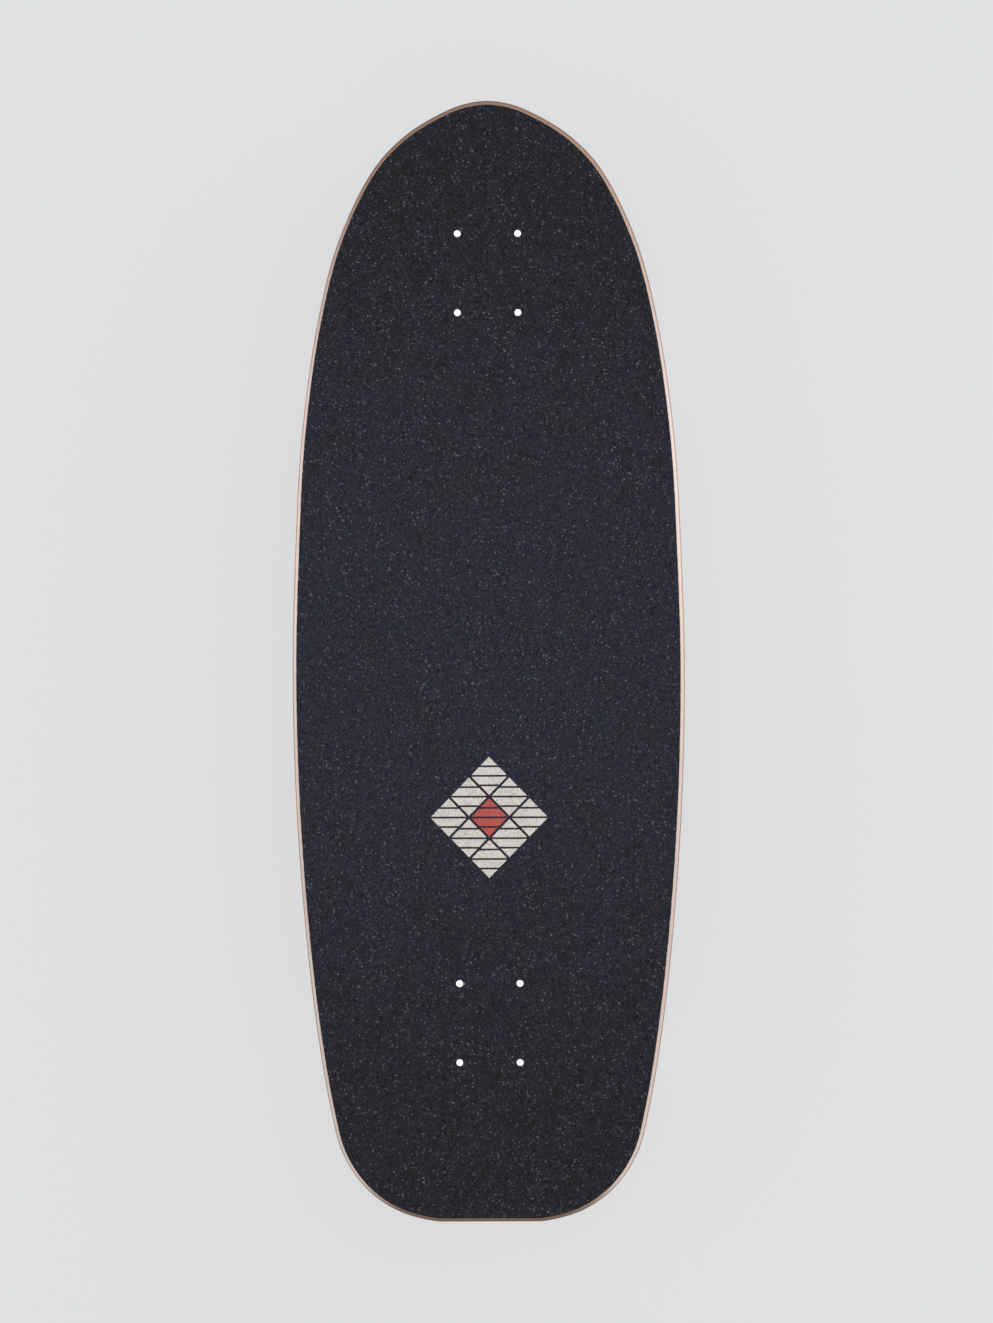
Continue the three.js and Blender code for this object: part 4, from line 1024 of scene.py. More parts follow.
    def press(self, shape: Shape) -> None:
        """Cuts a flat sheet along a grid and bends it as the press does.

        Args:
            shape: the sheet, which is changed.
        """
        half = STACK.deck_length / 2
        rail_span = STACK.deck_width / 2 - self.flat_half_width
        rail_lines = round(rail_span / self.rail_step)
        for i in range(rail_lines):
            x = self.flat_half_width + rail_span * i / rail_lines
            score(shape, (x, 0, 0), ACROSS, TOUCHING)
            score(shape, (-x, 0, 0), ACROSS, TOUCHING)
        for start, way, curve in ((self.tail_kick_length - half, -1, self.tail_kick_bend),
                                  (half - self.nose_lift_length, 1, self.nose_lift_bend)):
            lines = round(curve / self.bend_step)
            for i in range(lines + 1):
                score(shape, (0, start + way * curve * i / lines, 0), ALONG, TOUCHING)
        for vert in shape.verts:
            vert.co.z += self.rise(vert.co.x, vert.co.y)
        bmesh.ops.recalc_face_normals(shape, faces=shape.faces)

    def build(self) -> None:
        """Makes the plies and the grip tape."""
        for number, finish in enumerate(self.plies):
            depths = [number * STACK.ply_pitch + STACK.ply_thickness * share for share in (0.0, 0.5, 1.0)]
            levels = [(depth, self.rail_inset(depth), self.sink(depth), 0.0) for depth in depths]
            name = f"maple_ply_{number + 1}"
            finished(f"{name}_veneer", self.layer(levels, self.span_steps), [finish], "deck", nodes=[name])
        low = -STACK.glue_line
        margin, hole = self.grip_margin, self.grip_hole_radius
        levels = [(low - STACK.grip_thickness, margin + self.grip_slope, hole, 1.0),
                  (low - self.film, margin, hole, 1.0), (low - self.film, margin, hole, 0.0),
                  (low, margin, hole, 0.0)]
        grip = self.layer(levels, 3 * self.span_steps, self.ragged, self.grip_shift)
        finished("grip_tape_sheet", grip, [GRIP, FILM], "deck", nodes=["grip_tape"])


@dataclass
class PrintedPanel:
    """A generic screen print on the grip: a lattice of slit lozenges, the middle one red."""

    middle: Point = (0.0, -107.0)
    pitch: Point = (27.6, 28.4)
    gap: float = 2.4
    slit: float = 1.3
    slit_places: Point = (-0.5, 0.0, 0.5)  # in half heights of a lozenge
    ink: float = 0.03

    def lozenge(self, x: float, y: float) -> Shape:
        """One lozenge, slit across three times.

        Args:
            x: its middle across the board.
            y: its middle along the board.

        Returns:
            A thin closed shape on top of the grip.
        """
        half_width, half_height = ((pitch - self.gap) / 2 for pitch in self.pitch)
        shape = bmesh.new()
        bmesh.ops.create_circle(shape, cap_ends=True, segments=4, radius=1.0,
                                matrix=Matrix.Diagonal((half_width, half_height, 1, 1)))
        for middle in (share * half_height for share in self.slit_places):
            for side in ENDS:
                score(shape, (0, middle + side * self.slit / 2, 0), ALONG)
            bare = [f for f in shape.faces if abs(f.calc_center_median().y - middle) < self.slit / 2]
            bmesh.ops.delete(shape, geom=bare, context="FACES")
        grown = bmesh.ops.extrude_face_region(shape, geom=shape.faces[:])["geom"]
        bmesh.ops.translate(shape, vec=(0, 0, self.ink), verts=only(bmesh.types.BMVert, grown))
        bmesh.ops.recalc_face_normals(shape, faces=shape.faces)
        top = STACK.deck_top + STACK.glue_line + STACK.grip_thickness
        return moved(shape, Matrix.Translation((x, y, top)))

    def build(self) -> None:
        """Makes the white and the red ink."""
        white, red = [], []
        for i in (-1, 0, 1):
            for j in (-1, 0, 1):
                x = self.middle[0] + (i - j) * self.pitch[0] / 2
                y = self.middle[1] + (i + j) * self.pitch[1] / 2
                (white if i or j else red).append(self.lozenge(x, y))
        finished("printed_lattice_white", together(white), [INK_WHITE], "deck")
        finished("printed_lattice_red", together(red), [INK_RED], "deck")


@dataclass
class MountingBolts:
    """Eight countersunk bolts with hex sockets and nylon-insert lock nuts."""

    radius: float = 2.4
    pitch: float = 0.8
    chamfer: float = 0.7
    head_radius: float = 4.6
    head_depth: float = 2.7
    head_rim: float = 0.35
    head_slope: float = 0.1
    socket_across_flats: float = 3.2
    socket_depth: float = 1.3
    socket_spare: float = 1.0  # how far its tool stands out of the head
    tail: float = 1.6
    nut_across_flats: float = 9.5
    nut_height: float = 5.5
    collar_height: float = 1.5
    collar_bite: float = 0.2  # how far the collar and the nylon reach into the nut
    collar_inset: float = 0.5
    lip_inset: float = 0.4
    nylon_width: float = 0.9
    nylon_bite: float = 0.1  # how far the nylon closes on the thread
    nylon_sink: float = 0.3

    def bolt(self, nut_top: float) -> Shape:
        """One bolt with its nut.

        Args:
            nut_top: height of the nut's upper face.

        Returns:
            Closed shapes round the bolt's axis; the nylon ring has material 1.
        """
        top = STACK.deck_top - STACK.glue_line
        low = nut_top - self.nut_height
        outline = [*threaded(self.radius, low - self.tail, low - self.nylon_bite, self.pitch, self.chamfer),
                   (self.radius, top - self.head_depth), (self.head_radius, top - self.head_rim, 0.15),
                   (self.head_radius - self.head_slope, top, 0.1), (0, top)]
        socket = hexagon(self.socket_across_flats, self.socket_depth + self.socket_spare, chamfer=0.01)
        body = carved(turned(outline), [moved(socket, lift(top - self.socket_depth))])
        hex_height = self.nut_height - self.collar_height
        hex_nut = hexagon(self.nut_across_flats, hex_height, self.radius - self.collar_bite)
        rim, inner = self.nut_across_flats / 2 - self.collar_inset, self.radius + self.nylon_width
        high = nut_top - hex_height + self.collar_bite
        collar = turned([(inner, low + 0.25), (inner, low, 0.05), (rim - self.lip_inset, low, 0.5),
                         (rim, high), (inner, high)])
        bite, snug = self.radius - self.nylon_bite, self.radius + self.nylon_width - 0.02
        sunk = low + self.nylon_sink
        nylon = turned([(bite, sunk), (snug, sunk), (snug, high), (bite, high)])
        return together([body, moved(hex_nut, lift(nut_top - hex_height)), collar, inlaid(nylon)])

    def build(self) -> None:
        """Makes the eight bolts."""
        for end, middle, plates in (("front", STACK.front_bolts_y, STACK.swivel_plate),
                                    ("rear", STACK.rear_bolts_y, STACK.riser_thickness + STACK.baseplate)):
            for number, (x, y) in enumerate(STACK.bolt_places(middle), start=1):
                shape = self.bolt(STACK.deck_underside - plates - STACK.clearance)
                name, here = f"{end}_bolt_{number}", Matrix.Translation((x, y, 0))
                finished(f"{name}_with_nut", shape, [ZINC, NYLON], "deck", here, [name])


# Trucks


@dataclass
class TruckLines:
    """Sizes and lines of a truck in its own frame: +Y to the end of the board, z = 0 on the seat face."""

    ring_inset: float = 13.0
    ring_drop: float = 42.0
    ring_thickness: float = 10.0
    pivot_outset: float = 33.0
    pivot_drop: float = 17.0
    pivot_base_radius: float = 8.5
    pivot_tip_radius: float = 4.8
    pivot_length: float = 19.0
    cup_wall: float = 2.6
    cup_bottom: float = 2.6
    cup_length: float = 17.0
    pivot_boss_radius: float = 12.5
    pivot_boss_wall: float = 4.5
    kingpin_lean: float = math.radians(20)
    kingpin_radius: float = 4.9
    head_across_flats: float = 14.3
    head_height: float = 6.0
    head_recess_radius: float = 9.0
    kingpin_boss_radius: float = 13.0
    board_bushing_height: float = 13.0
    road_bushing_height: float = 11.0
    washer_thickness: float = 1.6

    def __post_init__(self) -> None:
        """Works out the lines from the sizes."""
        self.ring = Vector((0, -self.ring_inset, -self.ring_drop))
        self.axle = Vector((0, STACK.axle_outset, -STACK.truck_height))
        tip = Vector((0, self.pivot_outset, -self.pivot_drop))
        self.pivot_way = (tip - self.ring).normalized()
        self.pivot_reach = (tip - self.ring).length
        self.kingpin_way = Vector((0, -math.sin(self.kingpin_lean), -math.cos(self.kingpin_lean)))
        gap = STACK.clearance
        self.board_bushing_top = -self.ring_thickness / 2 - gap - self.board_bushing_height
        self.kingpin_seat = self.board_bushing_top - gap
        sagging = hex_corner(self.head_across_flats) * math.sin(self.kingpin_lean)
        self.head_top = (sagging + gap - self.ring_drop) / math.cos(self.kingpin_lean)
        self.road_bushing_top = self.ring_thickness / 2 + gap
        self.washer_top = self.road_bushing_top + self.road_bushing_height + gap
        self.nut_top = self.washer_top + self.washer_thickness + gap
        self.cup_end = self.pivot_reach + self.cup_bottom
        self.cup_start = self.cup_end - self.cup_length
        self.cup_radius = self.pivot_radius(self.cup_start) + gap + self.cup_wall

    def pivot_radius(self, distance: float) -> float:
        """Radius of the tapered pivot at a distance from the ring."""
        share = (self.pivot_reach - distance) / self.pivot_length
        return self.pivot_tip_radius + share * (self.pivot_base_radius - self.pivot_tip_radius)

    def on_kingpin(self, distance: float) -> Vector:
        """A place on the kingpin's axis, counted down from the middle of the ring."""
        return self.ring + self.kingpin_way * distance

    def on_pivot(self, distance: float) -> Vector:
        """A place on the pivot's axis, counted outwards from the middle of the ring."""
        return self.ring + self.pivot_way * distance

    def seats(self, thickness: float) -> tuple[list[Shape], list[Shape]]:
        """What holds the kingpin and the pivot cup under a plate.

        Args:
            thickness: of the plate.

        Returns:
            The bosses, and the tools that cut them.
        """
        middle = thickness / 2
        spot = self.on_kingpin((middle - self.ring_drop) / math.cos(self.kingpin_lean))
        low, high = self.on_pivot(self.cup_start), self.on_pivot(self.cup_end + self.pivot_boss_wall)
        root = Vector((0, (low.y + high.y) / 2, -middle))
        seat_face = self.on_kingpin(self.kingpin_seat)
        bosses = [
            hull((centre, way, self.kingpin_boss_radius) for centre, way in (
                (seat_face, self.kingpin_way), (spot, UP))),
            hull((centre, way, self.pivot_boss_radius) for centre, way in (
                (low, self.pivot_way), (high, self.pivot_way), (root, UP))),
        ]
        up, gap = -self.kingpin_way, STACK.clearance
        seat = self.on_kingpin(self.head_top + self.head_height + gap)
        tools = [
            rod(self.kingpin_radius + gap, BEYOND - self.head_top, along(self.on_kingpin(0), up)),
            rod(self.head_recess_radius, BEYOND, along(seat, up)),
            rod(self.cup_radius + gap, self.cup_length + gap + BEYOND,
                along(self.on_pivot(self.cup_end + gap), -self.pivot_way)),
        ]
        return bosses, tools


LINES = TruckLines()


@dataclass
class Swivel:
    """The front swivel: a black base under the deck, a silver arm below it and the coil that centres it."""

    lean: float = math.radians(20)
    ahead: float = 18.4
    plate_width: float = 58.0
    plate_length: float = 88.0
    corner: float = 9.0
    to_truck: float = 62.0
    bolt_radius: float = 6.0
    pitch: float = 1.75
    chamfer: float = 1.0
    thread_past: float = 2.0  # how far the thread runs past the nut
    head_across_flats: float = 18.0
    head_height: float = 6.0
    head_top: float = 4.2
    head_recess_radius: float = 11.0
    head_chamfer: float = 1.2
    boss_radius: float = 16.5
    collar_radius: float = 23.0
    collar_top: float = 11.8
    collar_thickness: float = 4.0
    flange_thickness: float = 2.0
    flange_radius: float = 15.0
    bush_wall: float = 2.6
    bush_edge: float = 0.4
    arm_thickness: float = 9.0
    hub_radius: float = 21.0
    hub_thickness: float = 13.0
    hub_boss_radius: float = 16.0
    tail_radius: float = 17.0
    nut_across_flats: float = 19.0
    nut_height: float = 9.0
    bolt_tail: float = 2.0
    spring_radius: float = 20.6
    wire: float = 4.0
    wire_sides: int = 20
    wire_tip: float = 0.5  # how far the wire's ends are rounded, and what is left of their width
    wire_tip_share: float = 0.78
    turns: float = 3.25
    turn_steps: int = 48
    lug_width: float = 6.0
    lug_height: float = 5.0
    lug_outer_radius: float = 23.5

    def __post_init__(self) -> None:
        """Works out the heights down the swivel's axis."""
        gap = STACK.clearance
        below_arm = STACK.truck_height * math.cos(self.lean) + STACK.axle_outset * math.sin(self.lean)
        arm_rise = self.to_truck * math.sin(self.lean)
        drop = STACK.deck_underside - STACK.wheel_radius - below_arm + arm_rise
        self.arm_top = drop / math.cos(self.lean)
        self.flange_top = self.arm_top - gap - self.flange_thickness
        self.boss_end = self.flange_top - gap
        self.nut_top = self.arm_top + self.hub_thickness + gap
        self.spring_top = self.collar_top + self.collar_thickness + gap + self.wire / 2
        self.spring_bottom = self.arm_top - gap - self.wire / 2
        self.bush_radius = self.bolt_radius + gap + self.bush_wall
        here = Matrix.Translation((0, STACK.front_bolts_y + self.ahead, STACK.deck_underside))
        self.place = here @ Matrix.Rotation(-self.lean, 4, "X")
        self.truck_place = self.place @ Matrix.Translation((0, -self.to_truck, -self.arm_top))

    def lug(self, bottom: float, top: float, inner: float, turns: float, side: int) -> Shape:
        """A block that one end of the spring pushes on.

        Args:
            bottom: its lowest height on the axis.
            top: its highest height.
            inner: how near the axis it starts.
            turns: where the spring's end lies, in turns.
            side: 1 if it stands past that end, -1 if before it.

        Returns:
            A closed shape.
        """
        inside = self.spring_radius - self.wire / 2
        reach = math.asin((STACK.clearance + self.lug_width / 2) / math.hypot(inside, self.wire))
        angle = turns * math.tau + side * (math.atan2(self.wire, inside) + reach)
        shape = block((inner, -self.lug_width / 2, bottom), (self.lug_outer_radius, self.lug_width / 2, top))
        return moved(shape, Matrix.Rotation(angle, 4, "Z"))

    def base(self) -> Shape:
        """The casting that bolts under the deck.

        Returns:
            A closed shape.
        """
        level = Matrix.Rotation(self.lean, 4, "X")
        under_deck = level @ Matrix.Translation((0, -self.ahead, 0))
        seat = plate(self.plate_width, self.plate_length, -STACK.swivel_plate, SPARE, self.corner)
        collar_end = -self.collar_top - self.collar_thickness
        rounds = [turned([(0, low), (radius, low), (radius, high), (0, high)], FINE)
                  for radius, low, high in ((self.boss_radius, -self.boss_end, 0),
                                            (self.collar_radius, collar_end, -self.collar_top))]
        foot = self.lug(-self.spring_top, -self.collar_top, self.bolt_radius, 0, -1)
        body = cast([moved(seat, under_deck), *rounds, foot], passes=6)
        shank = rod(self.bolt_radius + STACK.clearance, self.boss_end + BEYOND,
                    lift(-self.boss_end - BEYOND / 2))
        depth = self.head_top + self.head_height + STACK.clearance
        recess = rod(self.head_recess_radius, depth + BEYOND, lift(-depth))
        face = block((-WIDE, -WIDE, -WIDE), (WIDE, WIDE, -self.boss_end))
        return carved(body, [moved(trimmer(), level), face, shank, recess, *bolt_holes(under_deck)])

    def arm(self) -> Shape:
        """The casting that swings under the base and carries the truck.

        Returns:
            A closed shape.
        """
        top, bottom = -self.arm_top, -self.arm_top - self.arm_thickness
        tail = -self.to_truck - LINES.ring_inset / 2
        web = hull((Vector((0, y, z)), UP, radius)
                   for y, radius in ((0, self.hub_radius), (tail, self.tail_radius)) for z in (top, bottom))
        hub = rod(self.hub_boss_radius, self.hub_thickness, lift(top - self.hub_thickness))
        foot = self.lug(top - STACK.clearance, top + self.lug_height, self.boss_radius + STACK.clearance,
                        self.turns, 1)
        bosses, tools = LINES.seats(self.arm_thickness)
        to_truck = Matrix.Translation((0, -self.to_truck, top))
        body = cast([web, hub, foot, *(moved(boss, to_truck) for boss in bosses)], passes=7)
        bore = rod(self.bush_radius + STACK.clearance, self.hub_thickness + BEYOND,
                   lift(top - self.hub_thickness - BEYOND / 2))
        return carved(body, [bore, *(moved(tool, to_truck) for tool in tools)])

    def spring(self) -> Shape:
        """The torsion coil: a straight end, the turns and a straight end.

        Returns:
            A closed shape.
        """
        shape = bmesh.new()
        start = Matrix.Translation((self.spring_radius, 0, -self.spring_top))
        bmesh.ops.create_circle(shape, segments=self.wire_sides, radius=self.wire / 2,
                                matrix=start @ Matrix.Rotation(math.pi / 2, 4, "X"))
        steps = round(self.turns * self.turn_steps)
        drop = Vector((0, 0, (self.spring_top - self.spring_bottom) / steps))
        first = shape.edges[:]
        last = bmesh.ops.spin(shape, geom=shape.verts[:] + first, cent=(0, 0, 0), axis=UP, dvec=drop,
                              angle=self.turns * math.tau, steps=steps, use_merge=False)["geom_last"]
        for ends, turns, side in ((first, 0.0, -1), (only(bmesh.types.BMEdge, last), self.turns, 1)):
            angle = turns * math.tau
            ahead = Vector((-math.sin(angle), math.cos(angle), 0)) * side
            for length, size in ((self.wire - self.wire_tip, 1.0), (self.wire_tip, self.wire_tip_share)):
                grown = bmesh.ops.extrude_edge_only(shape, edges=ends)["geom"]
                verts, ends = only(bmesh.types.BMVert, grown), only(bmesh.types.BMEdge, grown)
                bmesh.ops.translate(shape, vec=ahead * length, verts=verts)
                middle = sum((v.co for v in verts), Vector()) / len(verts)
                bmesh.ops.scale(shape, vec=(size, size, size), space=Matrix.Translation(-middle), verts=verts)
            bmesh.ops.contextual_create(shape, geom=ends)
        bmesh.ops.recalc_face_normals(shape, faces=shape.faces)
        return shape

    def bush(self) -> Shape:
        """The flanged bush that the arm swings on.

        Returns:
            A closed shape.
        """
        bore, edge = self.bolt_radius + STACK.clearance, self.bush_edge
        low, step, high = -self.arm_top - self.hub_thickness, STACK.clearance - self.arm_top, -self.flange_top
        flange = self.flange_radius
        return turned([(bore, low, edge), (self.bush_radius, low, edge), (self.bush_radius, step),
                       (flange, step, 0.3), (flange, high, 0.3), (bore, high, edge)], FINE)

    def build(self) -> None:
        """Makes the swivel's pieces."""
        finished("swivel_base_casting", self.base(), [POWDER], "deck", self.place, ["swivel_base"])
        finished("swivel_arm_casting", self.arm(), [CAST], "front_arm", self.place, ["swivel_arm"])
        low = -self.nut_top - self.nut_height
        head_low = -self.head_top - self.head_height
        tip, root, overlap = low - self.bolt_tail, self.thread_past - self.nut_top, head_low + OVERLAP
        shank = turned([*threaded(self.bolt_radius, tip, root, self.pitch, self.chamfer),
                        (self.bolt_radius, overlap), (0, overlap)])
        head = hexagon(self.head_across_flats, self.head_height, chamfer=self.head_chamfer)
        head = moved(head, lift(head_low))
        finished("swivel_bolt_hex", together([shank, head]), [ZINC], "deck", self.place, ["swivel_bolt"])
        nut = hexagon(self.nut_across_flats, self.nut_height, self.bolt_radius + SNUG, self.head_chamfer)
        finished("swivel_nut_hex", nut, [ZINC], "deck", self.place @ lift(low), ["swivel_nut"])
        finished("swivel_bush_turned", self.bush(), [BRONZE], "front_arm", self.place, ["swivel_bush"])
        coil = finished("centering_spring_coil", self.spring(), [SPRING], place=self.place,
                        nodes=["centering_spring"])
        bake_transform(coil)


@dataclass
class RearBase:
    """The rear truck's baseplate on its rubber riser."""

    width: float = 56.0
    length: float = 82.0
    corner: float = 9.0
    overhang: float = 1.0
    riser_edge: float = 0.8

    def __post_init__(self) -> None:
        """Places the rear truck, which is turned round."""
        height = STACK.deck_underside - STACK.riser_thickness
        self.place = Matrix.Translation((0, STACK.rear_bolts_y, height)) @ Matrix.Rotation(math.pi, 4, "Z")

    def build(self) -> None:
        """Makes the baseplate and the riser."""
        bosses, tools = LINES.seats(STACK.baseplate)
        seat = plate(self.width, self.length, -STACK.baseplate, SPARE, self.corner)
        body = cast([seat, *bosses], passes=6)
        body = carved(body, [trimmer(), *bolt_holes(Matrix()), *tools])
        finished("rear_baseplate_casting", body, [CAST], "deck", self.place, ["rear_baseplate"])
        wide, long = self.width + 2 * self.overhang, self.length + 2 * self.overhang
        riser = plate(wide, long, 0, STACK.riser_thickness, self.corner, self.riser_edge)
        riser = carved(riser, bolt_holes(Matrix()))
        finished("rear_riser_pad", riser, [RUBBER], "deck", self.place, ["rear_riser"])


@dataclass
class Truck:
    """What both trucks share: the steering stack, the hanger, the axle and the wheels."""

    end: str
    place: Matrix
    base_body: str
    sides: tuple[tuple[int, str], ...]
    hanger_width: float = 149.0
    end_radius: float = 8.0
    hub_radius: float = 11.0
    hub_half_width: float = 16.0
    web_half_width: float = 48.0
    web_end_radius: float = 8.2
    web_top_radius: float = 7.0
    web_top: Point = (0.0, 8.0, -40.0)
    ring_radius: float = 17.0
    ring_bore: float = 8.5
    ring_rim: float = 1.2
    pivot_shoulder: float = 1.5
    tilt: float = math.radians(14)
    washer_radius: float = 11.6
    washer_lip: float = 1.4
    nut_height: float = 7.5
    kingpin_tail: float = 2.8
    kingpin_pitch: float = 1.1
    kingpin_chamfer: float = 1.0
    kingpin_thread_past: float = 1.0  # how far the thread runs past the nut
    kingpin_nut_chamfer: float = 0.9
    bushing_radius: float = 12.0
    cone_radius: float = 9.6
    bushing_bore: float = 6.2  # the bore is wide enough for the kingpin when the bushing leans
    bushing_rings: int = 8  # rings along its height
    axle_radius: float = 3.95
    axle_pitch: float = 1.0
    axle_chamfer: float = 0.9
    axle_thread_past: float = 3.0
    axle_nut_chamfer: float = 0.8
    axle_nut_across_flats: float = 12.7
    axle_nut_height: float = 6.5
    axle_tail: float = 1.9
    sleeve_radius: float = 6.0
    sleeve_lip: float = 1.0
    spacer_step: float = 0.6  # how much thinner the spacer is than the races beside it
    bearing_width: float = 7.0
    bearing_spacing: float = 10.0
    bearing_radius: float = 11.0
    bearing_bore: float = 6.4
    shield_radius: float = 9.4
    shield_sink: float = 0.4
    wheel_steps: int = 128
    tread_depth: float = 0.6
    flange_radius: float = 8.5
    wheel_profile: tuple[Point, ...] = (
        (33.0, 16.0, 2.5), (31.8, 20.9, 2.2), (28.8, 24.6, 2.0), (24.5, 25.5, 1.2), (20.0, 23.0, 3.0),
        (13.9, 12.3, 0.5), (11.3, 12.3, 0.2),
    )  # radius, distance from the wheel's middle and rounding, from the tread in to the bearing's seat

    def __post_init__(self) -> None:
        """Works out the places along the axle."""
        self.axle_body = f"{self.end}_axle_unit"
        self.sleeve_start = self.hanger_width / 2 + STACK.clearance
        self.sleeve_length = 2 * (self.sleeve_lip + self.bearing_width) + self.bearing_spacing
        self.wheel_middle = self.sleeve_start + self.sleeve_length / 2
        self.axle_nut_start = self.sleeve_start + self.sleeve_length + STACK.clearance
        self.axle_half = self.axle_nut_start + self.axle_nut_height + self.axle_tail

    def on_axle(self, x: float) -> Vector:
        """A place on the axle."""
        return LINES.axle + ACROSS * x

    def fit(self, name: str, node: str, shape: Shape, finish: Finish, body: str, place: Matrix) -> None:
        """Finishes a piece that is named after the truck's end.

        Args:
            name: the rest of its name.
            node: the rest of the name of the solid that it stands for.
            shape: its shape, which is used up.
            finish: its material.
            body: the body that it rides on.
            place: where it goes.
        """
        finished(f"{self.end}_{name}", shape, [finish], body, place, [f"{self.end}_{node}"])

    def hanger(self) -> Shape:
        """The hanger casting: a hub on the axle, two tapering arms, a web, the bushing ring and the pivot.

        Returns:
            A closed shape.
        """
        way, half, gap = LINES.kingpin_way, LINES.ring_thickness / 2, STACK.clearance
        hub = [(self.on_axle(side * self.hub_half_width), ACROSS, self.hub_radius) for side in ENDS]
        rings = [(LINES.on_kingpin(side * (half + self.ring_rim)), way, self.ring_radius) for side in ENDS]
        base, length = LINES.pivot_reach - LINES.pivot_length, LINES.pivot_length
        neck = (LINES.on_pivot(base - self.pivot_shoulder), LINES.pivot_way,
                LINES.pivot_base_radius + self.pivot_shoulder)
        arms = [hull([one, (self.on_axle(side * self.hanger_width / 2), ACROSS, self.end_radius)])
                for one, side in zip(hub, ENDS)]
        feet = [(self.on_axle(side * self.web_half_width), ACROSS, self.web_end_radius) for side in ENDS]
        web = hull([*feet, (Vector(self.web_top), ACROSS, self.web_top_radius)])
        body = cast([hull(hub + rings), hull(hub + [neck]), web, *arms], passes=9)
        room = LINES.kingpin_boss_radius + 2 * gap
        swing = way.cross(LINES.pivot_way).length * math.sin(self.tilt)
        washer_room = self.washer_radius + (LINES.washer_top + LINES.washer_thickness) * swing + 2 * gap
        tools = [
            rod(room, BEYOND, along(LINES.on_kingpin(-half), -way), FINE),
            rod(room, BEYOND, along(LINES.on_kingpin(half), way), FINE),
            rod(washer_room, BEYOND, along(LINES.on_kingpin(half + self.ring_rim + gap), way), FINE),
        ]
        wide, thin, low = LINES.pivot_base_radius, LINES.pivot_tip_radius, -self.hub_radius
        pivot = turned([(0, low), (wide, low), (wide, 0, 1.0), (thin, length, 2.5), (0, length)])
        pivot = moved(pivot, along(LINES.on_pivot(base), LINES.pivot_way))
        bore = rod(self.ring_bore, LINES.ring_thickness + 2 * BEYOND,
                   along(LINES.on_kingpin(-half - BEYOND), way))
        drill = rod(self.axle_radius + gap, self.hanger_width + 2 * BEYOND,
                    along(self.on_axle(-self.hanger_width / 2 - BEYOND), ACROSS))
        return carved(carved(carved(body, tools), [pivot], Way.JOIN), [bore, drill])

    def steering(self) -> None:
        """Makes the kingpin, its nut and washer, both bushings and the pivot cup."""
        place = self.place @ along(LINES.ring, LINES.kingpin_way)
        end = LINES.nut_top + self.nut_height + self.kingpin_tail
        radius, gap = LINES.kingpin_radius, STACK.clearance
        overlap = LINES.head_top + LINES.head_height - OVERLAP
        root = LINES.nut_top - self.kingpin_thread_past
        grooves = threaded(radius, end, root, self.kingpin_pitch, self.kingpin_chamfer)
        shank = turned([(0, overlap), (radius, overlap), *reversed(grooves)])
        head = hexagon(LINES.head_across_flats, LINES.head_height, chamfer=self.kingpin_chamfer)
        head = moved(head, lift(LINES.head_top))
        nut = hexagon(LINES.head_across_flats, self.nut_height, radius + SNUG, self.kingpin_nut_chamfer)
        bore, rim, top, thick = radius + gap, self.washer_radius, LINES.washer_top, LINES.washer_thickness
        lip = top - self.washer_lip
        washer = turned([(bore, top, 0.2), (rim - thick, top, 0.3), (rim - thick, lip, 0.3), (rim, lip, 0.3),
                         (rim, top + thick, 1.2), (bore, top + thick, 0.2)])
        body = self.base_body
        self.fit("kingpin_bolt", "kingpin", together([shank, head]), KINGPIN, body, place)
        self.fit("kingpin_lock_nut", "kingpin_nut", nut, ZINC, body, place @ lift(LINES.nut_top))
        self.fit("cup_washer_stamped", "cup_washer", washer, ZINC, body, place)
        self.bushing("board", LINES.board_bushing_top, LINES.board_bushing_height, False, place)
        self.bushing("road", LINES.road_bushing_top, LINES.road_bushing_height, True, place)
        tip, mouth = LINES.pivot_reach, LINES.cup_start
        cup = turned([(0, tip + gap), (LINES.pivot_radius(tip) + gap, tip + gap, 0.8),
                      (LINES.pivot_radius(mouth) + gap, mouth, 0.5), (LINES.cup_radius, mouth, 0.6),
                      (LINES.cup_radius, LINES.cup_end, 0.8), (0, LINES.cup_end)])
        on_pivot = self.place @ along(LINES.ring, LINES.pivot_way)
        self.fit("pivot_cup_moulded", "pivot_cup", cup, RUBBER, body, on_pivot)

    def bushing(self, kind: str, top: float, height: float, narrow_below: bool, place: Matrix) -> None:
        """Makes one bushing, which sits between the base and the hanger.

        Args:
            kind: board or road.
            top: its upper face on the kingpin.
            height: along the kingpin.
            narrow_below: whether its cone is at the lower end.
            place: of the kingpin's axis.
        """
        upper, lower = self.cone_radius, self.bushing_radius
        if narrow_below:
            upper, lower = lower, upper
        shoulder, end = top + height / 3, top + height
        shape = turned([(self.bushing_bore, top), (upper, top, 0.8), (self.bushing_radius, shoulder, 2.0),
                        (lower, end, 0.8), (self.bushing_bore, end)])
        for i in range(1, self.bushing_rings):
            score(shape, (0, 0, top + height * i / self.bushing_rings), UP)
        node = f"{self.end}_{kind}_bushing"
        piece = finished(f"{node}_urethane", shape, [BUSHING], place=place, nodes=[node])
        low, high = ((place @ Vector((0, 0, z))) * MM for z in (top, top + height))
        if narrow_below:
            low, high = high, low
        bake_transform(piece)

